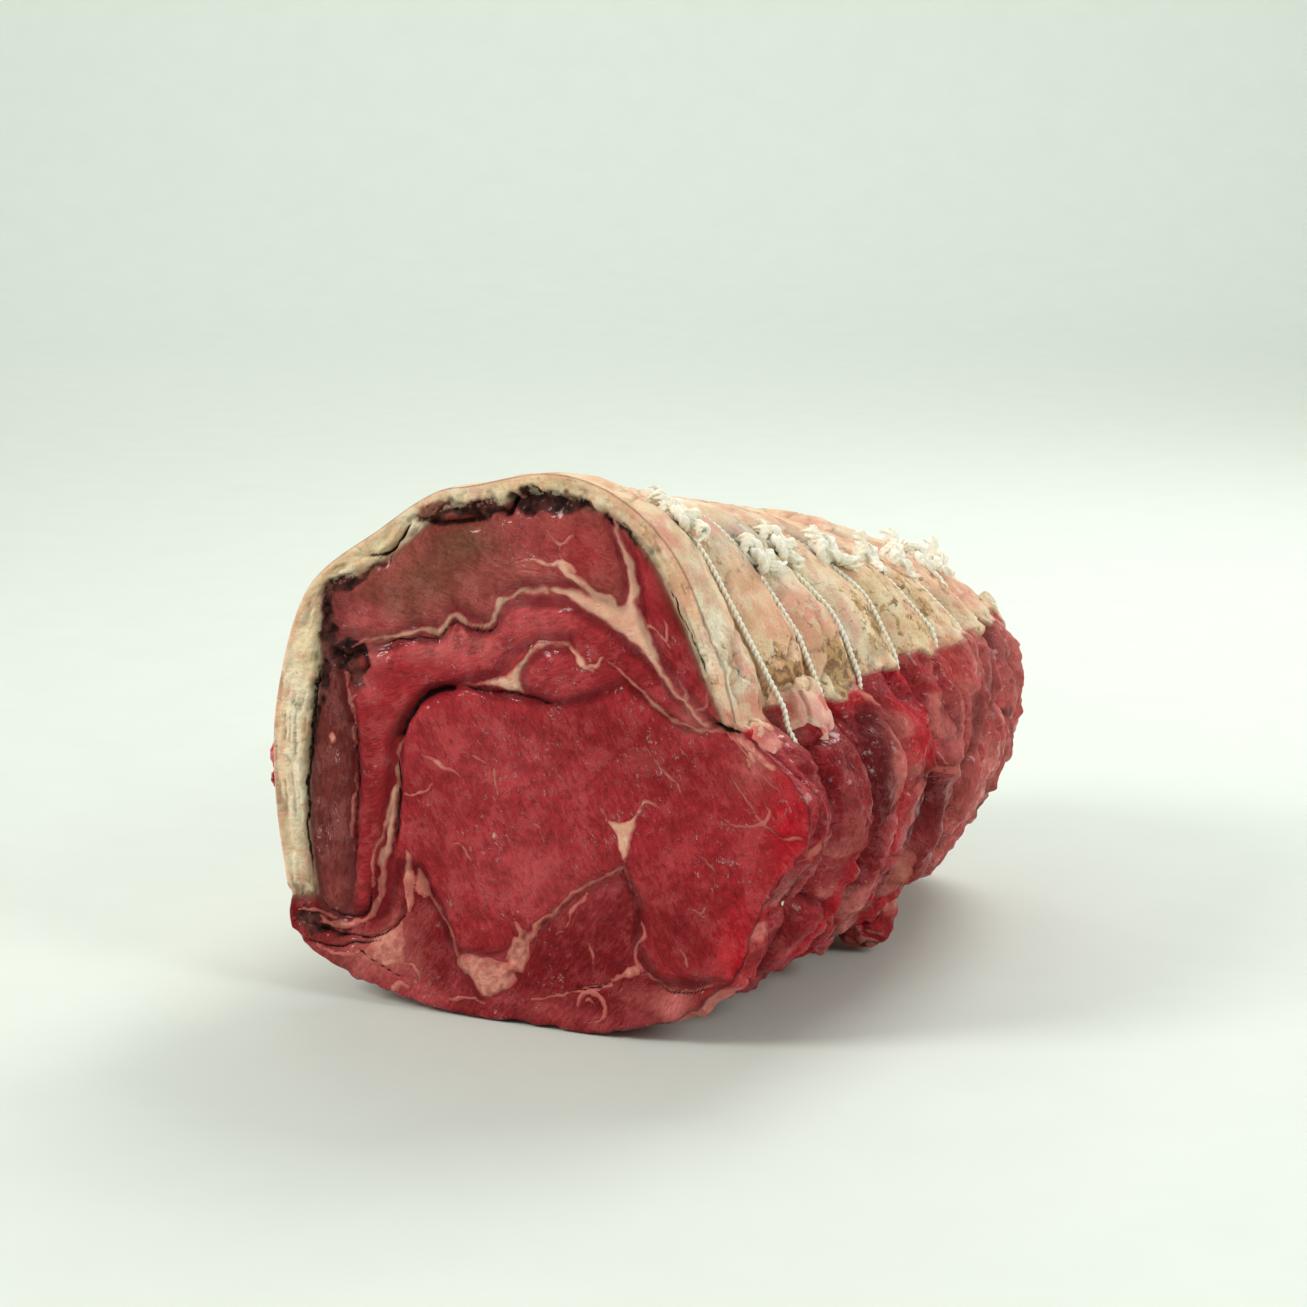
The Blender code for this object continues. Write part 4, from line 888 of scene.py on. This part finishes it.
outside_fat = ((wear - 0.5).step(0.04, 0.10) * 0.35).mix(outside_fat, (0.58, 0.38, 0.20))
spoiled = place.noise(260, 5, 0.68)
dirt = mid.step(0.40, 0.58).mix((0.20, 0.08, 0.035), (0.50, 0.31, 0.12))
outside_fat = ((stain + (spoiled - 0.5) * 2.6).step(0.34, 0.56) * 0.85).mix(outside_fat, dirt)
colour = (is_line * (0.6 + fat_line.step(-0.1, 0.4) * 0.4)).mix(lean, edge_fat)
colour = is_cover.mix(colour, outside_fat)
# Painted shade: nearly black in cracks, crevices and creases
painted_crack_shade = (crack_shade + (mid - 0.5) * 0.5 + (fine - 0.5) * 0.3).step(0.30, 0.80)
colour = painted_crack_shade.mix(colour, (0.030, 0.006, 0.005))
pale = is_cover.sum("MAXIMUM", is_cover, is_line)
rough = 0.40 + (mid - 0.5) * 0.4 + (fine - 0.5) * 0.2 + pale * 0.18 + crust * 0.2
wet = (mottle * 0.6 + broad * 0.5 - 0.5).step(0.03, 0.13) * (1 - pale * 0.8) * (1 - crust * 0.6) * 0.8
height = (thread * 0.3 + fine * 0.16 + mid * 0.45 + mottle * 0.7 + painted_glint * 0.5) * (1 - pale * 0.4)
bump = place.add("ShaderNodeBump", None, {"Strength": 1.0, "Distance": 0.0014, "Height": height})
plug(shader, Base_Color=colour, Roughness=rough, Coat_Weight=wet, Normal=bump)
shader.inputs["Subsurface Weight"].default_value = 0.15
shader.inputs["Subsurface Radius"].default_value = (1.0, 0.28, 0.2)
shader.inputs["Subsurface Scale"].default_value = 0.0016
shader.inputs["Coat Roughness"].default_value = 0.12
shader.inputs["Coat IOR"].default_value = 1.36
shader.inputs["Specular IOR Level"].default_value = 0.09


# Each muscle and fat seam as its own closed piece, cut from the skin.
# Sizes are in metres from here on, except where a piece is shaped in millimetres first.
WALL_DEPTH = 0.0045
heart = np.array([0, 0, CENTRE[1] / 1000])


def inward(at):
    """The way into the joint from points on its skin."""
    to_axis = (heart - at) * (1, 0, 1)
    to_axis /= np.maximum(np.linalg.norm(to_axis, axis=1), 1e-9)[:, None]
    on_end = ease((np.abs(at[:, 1]) * 1000 - 99) / 6)[:, None]
    return to_axis * (1 - on_end) + np.sign(at[:, 1:2]) * (0, -1, 0) * on_end


def store(mesh, name, values):
    """Keeps a value at each point of the mesh, for the material to read."""
    layer = mesh.attributes.new(name, "FLOAT_VECTOR", "POINT")
    layer.data.foreach_set("vector", values.astype(np.float32).ravel())


def shell(name, tris):
    """One piece of the skin, shaded with the whole skin's normals, so that the joins don't show.
    Hidden walls run from its edge to the heart of the joint, so that it is a closed body."""
    ends = np.concatenate([tris[:, [0, 1]], tris[:, [1, 2]], tris[:, [2, 0]]])
    alone = ~np.isin(ends[:, 0] * len(points) + ends[:, 1], ends[:, 1] * len(points) + ends[:, 0])
    used, index = np.unique(tris, return_inverse=True)
    edge = np.searchsorted(used, ends[alone])
    rim_points, rim_index = np.unique(edge, return_inverse=True)
    rim_index = rim_index.reshape(-1, 2) + len(used)
    a, b, inner_a, inner_b = edge[:, 0], edge[:, 1], rim_index[:, 0], rim_index[:, 1]
    middle = np.full(len(a), len(used) + len(rim_points))
    walls = [np.stack([b, a, inner_a], 1), np.stack([b, inner_a, inner_b], 1),
             np.stack([inner_b, inner_a, middle], 1)]
    tris = np.concatenate([index.reshape(-1, 3)] + walls)
    rim_at = points[used[rim_points]]
    corners = np.concatenate([points[used], rim_at + WALL_DEPTH * inward(rim_at), heart[None]])
    source = np.concatenate([used, used[rim_points], used[rim_points[:1]]])
    mesh = bpy.data.meshes.new(name + "_flesh")
    mesh.vertices.add(len(corners))
    mesh.vertices.foreach_set("co", corners.ravel())
    mesh.loops.add(len(tris) * 3)
    mesh.loops.foreach_set("vertex_index", tris.ravel().astype(np.int32))
    mesh.polygons.add(len(tris))
    mesh.polygons.foreach_set("loop_start", np.arange(0, len(tris) * 3, 3, dtype=np.int32))
    mesh.update(calc_edges=True)
    mesh.polygons.foreach_set("use_smooth", np.ones(len(tris), bool))
    look = {key: field[key][source] for key in FIELDS}
    store(mesh, "shade", look["shade"])
    store(mesh, "marks", np.stack([look["fat"], look["crack_shade"], look["cover"]], 1))
    store(mesh, "grain", np.column_stack([look["grain"], np.zeros(len(source))]))
    store(mesh, "more", np.stack([look["crust"], look["pink"], look["stain"]], 1))
    mesh.normals_split_custom_set_from_vertices(normal[source].tolist())
    mesh.materials.append(beef)
    piece = bpy.data.objects.new(mesh.name, mesh)
    bpy.context.scene.collection.objects.link(piece)
    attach(piece, "root")
    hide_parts(name)


for k, name in enumerate(names):
    shell(name, faces[labels == k])

# Loose nubs and lobes of trimmed meat and fat along the cover's lower edge, and scraps lower down.
# Each is a rounded lump that grows out of the joint's side. The pale ones are fat and film, and
# the red ones lean. Name, middle, half sizes, turn in degrees, colours of top and body, stripes,
# seed, and 3 for fat or -4 for lean.
SCRAPS = (
    ("striped_lobe", (63.5, 30, 85), (10.5, 10.0, 16.5), (-6, -14, 8), "cream", "pink", 1.0, 2, 3),
    ("rim_nub", (62, 6.8, 84), (7.0, 6.5, 10.0), (-8, -26, 0), "cream", "pink", 0.4, 11, 3),
    ("folded_nub", (66, 56, 87), (7.0, 9.5, 7.5), (12, -18, 0), "peach", "film", 0.4, 3, 3),
    ("film_flap", (67.5, 77, 84.5), (4.5, 9.0, 5.5), (10, -14, 0), "rose", "film", 0.5, 4, 3),
    ("curled_nub", (70, 95, 76), (4.5, 5.0, 7.0), (24, -10, 0), "rose", "pale", 0.6, 6, 3),
    ("pale_wedge", (72, 98, 64), (4.5, 7.0, 8.5), (30, -12, 0), "peach", "pink", 0.3, 7, 3),
    ("far_curl", (62, 200, 86), (5.5, 5.0, 11), (-10, -8, 0), "white", "cream", 0.3, 8, 3),
    ("hanging_scrap", (54.5, 110, 11), (8.5, 9.0, 9.5), (0, 30, 20), "pink", "fresh", 0.4, 5, -4),
    ("lower_scrap", (50, 78, 12.5), (6.0, 8.0, 5.5), (0, 30, -10), "film", "pale", 0.4, 9, -4),
    ("left_crumb", (-88.6, 6, 69), (2.0, 2.6, 4.0), (0, 5, 10), "bright", "pale", 0.5, 10, -4),
    ("left_crumb_low", (-88.4, 7, 62), (2.2, 3.0, 3.2), (20, 5, 10), "bright", "fresh", 0.5, 12, -4),
)


def rotation(turn):
    """Rotation about x, y and z, from angles in degrees."""
    (cx, sx), (cy, sy), (cz, sz) = ((math.cos(math.radians(a)), math.sin(math.radians(a))) for a in turn)
    return (np.array([[1, 0, 0], [0, cx, -sx], [0, sx, cx]])
            @ np.array([[cy, 0, sy], [0, 1, 0], [-sy, 0, cy]])
            @ np.array([[cz, -sz, 0], [sz, cz, 0], [0, 0, 1]]))


def scrap(name, at, size, turn, top_colour, body_colour, stripes, seed, fatty):
    """A lumpy ball, striped, paler above and below, and sunk in the joint's side."""
    bpy.ops.object.select_all(action="DESELECT")
    bpy.ops.mesh.primitive_ico_sphere_add(subdivisions=6, radius=1)
    piece = bpy.context.object
    piece.name = piece.data.name = name
    mesh = piece.data
    ball = np.empty(len(mesh.vertices) * 3)
    mesh.vertices.foreach_get("co", ball)
    ball = ball.reshape(-1, 3)
    colours = {**LEAN, **FAT}
    band = lumps(ball * (0.4, 0.4, 5.0) + 0.5 * lumps(ball, 0.9, seed)[:, None], 0.8, seed + 1)
    swell = 1 + 0.20 * lumps(ball, 0.75, seed + 2) + 0.09 * lumps(ball, 0.32, seed + 3) + 0.05 * band
    fold = peak(lumps(ball * (0.8, 0.8, 1.4), 0.8, seed + 5), 0.10)
    body = ball * (swell - 0.10 * fold)[:, None] * np.array(size)
    body = body @ rotation(turn).T + np.array(at) - (0, LENGTH / 2, 0)
    body[:, 2] = np.maximum(body[:, 2], 0.6)
    mesh.vertices.foreach_set("co", (body / 1000).ravel())
    upper = ease((ball[:, 2] - 0.25 + 0.5 * lumps(ball, 0.8, seed + 4)) / 0.7)
    lower = ease((-ball[:, 2] - 0.2 + 0.5 * lumps(ball, 0.8, seed + 6)) / 0.8)
    shade = np.tile(np.array(colours[body_colour]), (len(ball), 1))
    tint(shade, (0.78, 0.40, 0.33), stripes * ease(band * 3.2 - 0.2))
    tint(shade, colours[top_colour], upper)
    tint(shade, LEAN["pale"], 0.8 * lower)
    # Painted shade in the folds
    shade *= (1 - 0.4 * fold)[:, None]
    zero = np.zeros(len(ball))
    store(mesh, "shade", shade)
    store(mesh, "marks", np.stack([zero - 4, zero, zero + fatty], 1))
    store(mesh, "grain", body)
    store(mesh, "more", np.zeros((len(ball), 3)))
    bpy.ops.object.shade_smooth()
    mesh.materials.append(beef)
    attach(piece, "root")


for row in SCRAPS:
    scrap(*row)

# Butcher's string: eight ties of twisted cotton, each drawn tight and knotted on the fat.
# The cord is three strands laid together; its cut ends fray to a soft tuft.
CORD = 0.00088
KNOT_CORD = 0.00175
TAIL_CORD = 0.00095
KNOT_AT = np.radians((64, 50, 52, 46, 41, 38, 36, 33))
KNOT_LIFT = 2.8

cotton, shader, place = material("cotton_string")
twist = place.noise(1500, 3, 0.6)
patch = place.noise(260, 3)
colour = patch.step(0.42, 0.66).mix((0.96, 0.93, 0.79), (0.90, 0.83, 0.65))
colour = (0.97 + (twist - 0.5) * 0.5 + (patch - 0.5) * 0.2).shade(colour)
bump = place.add("ShaderNodeBump", None, {"Strength": 0.6, "Distance": 0.0003, "Height": twist})
plug(shader, Base_Color=colour, Roughness=0.82 + (twist - 0.5) * 0.2, Normal=bump)
shader.inputs["Sheen Weight"].default_value = 0.25


def hull(points):
    """The tight loop round a ring of points."""
    pts = points[np.lexsort((points[:, 1], points[:, 0]))]
    halves = []
    for run in (pts, pts[::-1]):
        chain = []
        for p in run:
            while len(chain) > 1 and np.cross(chain[-1] - chain[-2], p - chain[-1]) <= 0:
                chain.pop()
            chain.append(p)
        halves.append(np.array(chain[:-1]))
    return np.vstack(halves)


def cord_curve(name, points, depth, closed=False, turns=0, taper=None):
    """A twisted cord along points in metres."""
    bpy.ops.object.select_all(action="DESELECT")
    data = bpy.data.curves.new(name, "CURVE")
    data.dimensions = "3D"
    line = data.splines.new("POLY")
    line.points.add(len(points) - 1)
    line.points.foreach_set("co", np.column_stack([points, np.ones(len(points))]).ravel())
    line.use_cyclic_u = closed
    steps = np.arange(len(points)) / len(points)
    line.points.foreach_set("tilt", steps * turns * 2 * math.pi)
    if taper is not None:
        line.points.foreach_set("radius", taper)
    piece = bpy.data.objects.new(name, data)
    bpy.context.scene.collection.objects.link(piece)
    lobes = bpy.data.curves.new(name + "_section", "CURVE")
    lobes.dimensions = "2D"
    ring = lobes.splines.new("POLY")
    ring.points.add(11)
    for point, a in zip(ring.points, np.radians(np.arange(0, 360, 30))):
        r = depth * (0.85 + 0.20 * math.cos(3 * a))
        point.co = (r * math.cos(a), r * math.sin(a), 0, 1)
    ring.use_cyclic_u = True
    shape = bpy.data.objects.new(lobes.name, lobes)
    bpy.context.scene.collection.objects.link(shape)
    data.bevel_mode = "OBJECT"
    data.bevel_object = shape
    data.use_fill_caps = not closed
    piece.select_set(True)
    bpy.context.view_layer.objects.active = piece
    bpy.ops.object.convert(target="MESH")
    bpy.data.objects.remove(shape)
    piece = bpy.context.object
    bpy.ops.object.shade_smooth()
    return piece


rng = np.random.default_rng(7)
for number, (y, knot_angle) in enumerate(zip(STRINGS, KNOT_AT), 1):
    ang = np.radians(np.arange(0, 360, 1.5))
    yy = np.full(len(ang), y)
    radius, shift = radius_at(yy, ang)
    look = side_look(ang, yy)
    rel = (radius + look["push"] + 0.75)[:, None] * np.stack([np.cos(ang), np.sin(ang)], 1)
    tight = hull(rel)
    tight = np.vstack([tight, tight[:1]])
    run = np.concatenate([[0], np.cumsum(np.linalg.norm(np.diff(tight, axis=0), axis=1))])
    at = np.linspace(0, run[-1], int(run[-1] / 0.6), endpoint=False)
    loop = np.stack([np.interp(at, run, tight[:, k]) for k in (0, 1)], 1)
    ang = np.arctan2(loop[:, 1], loop[:, 0])
    degrees = in_degrees(ang)
    buried = ease((FAT_FROM + 2 - degrees) / 6) + ease((degrees - FAT_TO - 1) / 5)
    reach = np.hypot(loop[:, 0], loop[:, 1]) - 1.6 * buried
    wander = 0.5 * lumps(np.stack([loop[:, 0], loop[:, 1], np.full(len(ang), y)], 1), 25, 60 + number)
    way = np.stack([shift[0] + reach * np.cos(ang), y - LENGTH / 2 + wander,
                    CENTRE[1] + reach * np.sin(ang)], 1)
    way[:, 2] = np.maximum(way[:, 2], 1.0)
    pieces = [cord_curve("tie_%d" % number, way / 1000, CORD, True, int(run[-1] / 5.2))]
    k = np.argmin(np.abs(ang - knot_angle))
    middle = way[k]
    out = np.array([math.cos(knot_angle), 0, math.sin(knot_angle)])
    tangent = np.array([-out[2], 0, out[0]])
    frame_axes = np.stack([tangent, np.array([0, 1, 0]), out], 1)
    t = np.linspace(0, 2 * math.pi, 110, endpoint=False)
    size = rng.uniform(1.45, 1.7)
    turn = rng.uniform(0, 6.28)
    knot = np.stack([np.sin(t) + 2 * np.sin(2 * t), np.cos(t) - 2 * np.cos(2 * t), -1.3 * np.sin(3 * t)], 1)
    spin = np.array([[math.cos(turn), -math.sin(turn), 0], [math.sin(turn), math.cos(turn), 0], [0, 0, 1]])
    knot = (knot * (size, size, 1.3)) @ spin.T + (0, 0, KNOT_LIFT)
    pieces.append(cord_curve("knot", (middle + knot @ frame_axes.T) / 1000, KNOT_CORD, True, 6))
    for side in (-1, 1):
        away = np.array([side * rng.uniform(0.6, 1.0), rng.uniform(-0.6, 0.6), rng.uniform(-0.1, 0.25)])
        away /= np.linalg.norm(away)
        length = rng.uniform(5, 8.5)
        sway = np.array([rng.uniform(-2, 2), rng.uniform(-2.5, 2.5), rng.uniform(-0.5, 2)])
        for ply in range(4):
            s = np.linspace(0, 1, 22)
            wind = ply * math.pi / 2 + s * 5.5
            spread = 0.85 + 1.6 * s ** 3
            aside = np.array([-away[1], away[0], 0])
            tail = (away * (2.5 + (length + rng.uniform(-1, 1)) * s)[:, None]
                    + sway * (s * (1 - s) * 2)[:, None]
                    + aside * (np.cos(wind) * spread)[:, None]
                    + np.array([0, 0, 1]) * (np.sin(wind) * spread)[:, None]
                    + (0, 0, KNOT_LIFT - 0.4))
            thin_out = np.interp(s, (0, 0.75, 1), (1, 0.95, 0.35))
            pieces.append(cord_curve("tail", (middle + tail @ frame_axes.T) / 1000, TAIL_CORD,
                                     False, 1, thin_out))
    bpy.ops.object.select_all(action="DESELECT")
    for piece in pieces:
        piece.select_set(True)
    bpy.context.view_layer.objects.active = pieces[0]
    bpy.ops.object.join()
    tie = bpy.context.object
    tie.data.materials.clear()
    tie.data.materials.append(cotton)
    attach(tie, "root")
    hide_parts("string_%d" % number)

# Floor and light: a round pale floor that curves up to a wall all round, and soft lamps.
# The key light stands front left, and a soft one behind lifts the top of the fat.
FLOOR = 2.2
CURVE = 0.8
CURVE_STEPS = 12
bpy.ops.object.select_all(action="DESELECT")
bpy.ops.mesh.primitive_circle_add(vertices=96, radius=FLOOR, fill_type="NGON", location=(0, 0, -0.0002))
floor = bpy.context.object
floor.name = "floor"
bpy.ops.object.mode_set(mode="EDIT")
bpy.ops.mesh.select_all(action="SELECT")
bpy.ops.mesh.inset(thickness=0.02)
bpy.ops.mesh.select_all(action="DESELECT")
bpy.ops.object.mode_set(mode="OBJECT")
for edge in floor.data.edges:
    ends = [floor.data.vertices[k].co for k in edge.vertices]
    edge.select = all(v.xy.length > FLOOR - 0.005 for v in ends)
bpy.ops.object.mode_set(mode="EDIT")
bpy.ops.mesh.select_mode(type="EDGE")
for k in range(CURVE_STEPS):
    low, high = (math.radians(90 * j / CURVE_STEPS) for j in (k, k + 1))
    out = CURVE * (math.sin(high) - math.sin(low))
    up = CURVE * (math.cos(low) - math.cos(high))
    bpy.ops.mesh.extrude_region_move(TRANSFORM_OT_translate={"value": (0, 0, up)})
    grow = 1 + out / (FLOOR + CURVE * math.sin(low))
    bpy.ops.transform.resize(value=(grow, grow, 1), center_override=(0, 0, 0))
bpy.ops.mesh.extrude_region_move(TRANSFORM_OT_translate={"value": (0, 0, 0.6)})
bpy.ops.object.mode_set(mode="OBJECT")
bpy.ops.object.transform_apply(location=True, rotation=True, scale=True)
bpy.ops.object.shade_smooth()
paper, shader, place = material("pale_floor")
plug(shader, Base_Color=(0.97 + place.noise(30, 2) * 0.06).shade((0.66, 0.71, 0.65)))
shader.inputs["Roughness"].default_value = 0.75
floor.data.materials.append(paper)

world = bpy.data.worlds.new("studio")
bpy.context.scene.world = world
world.use_nodes = True
world.node_tree.nodes["Background"].inputs[0].default_value = (1.0, 1.0, 0.97, 1)
world.node_tree.nodes["Background"].inputs[1].default_value = 0.38


def lamp(name, place, target, size, power, colour=(1, 1, 1)):
    """A round soft lamp that points at its target."""
    data = bpy.data.lights.new(name, "AREA")
    data.shape = "DISK"
    data.size = size
    data.energy = power
    data.color = colour
    made = bpy.data.objects.new(name, data)
    bpy.context.scene.collection.objects.link(made)
    made.location = place
    made.rotation_euler = (Vector(target) - Vector(place)).to_track_quat("-Z", "Y").to_euler()


lamp("key", (-0.75, -0.9, 0.85), (0, 0, 0.08), 0.5, 11.6, (1, 0.985, 0.96))
lamp("back", (0.15, 0.85, 1.05), (0, 0, 0.1), 0.7, 9.6, (1, 1, 0.98))
lamp("side", (0.95, -0.25, 0.6), (0, 0, 0.07), 0.5, 4.3, (1, 1, 0.98))
lamp("wall", (-0.9, 1.8, 1.9), (-1.15, 2.6, 0.05), 2.0, 27, (0.98, 1, 0.97))
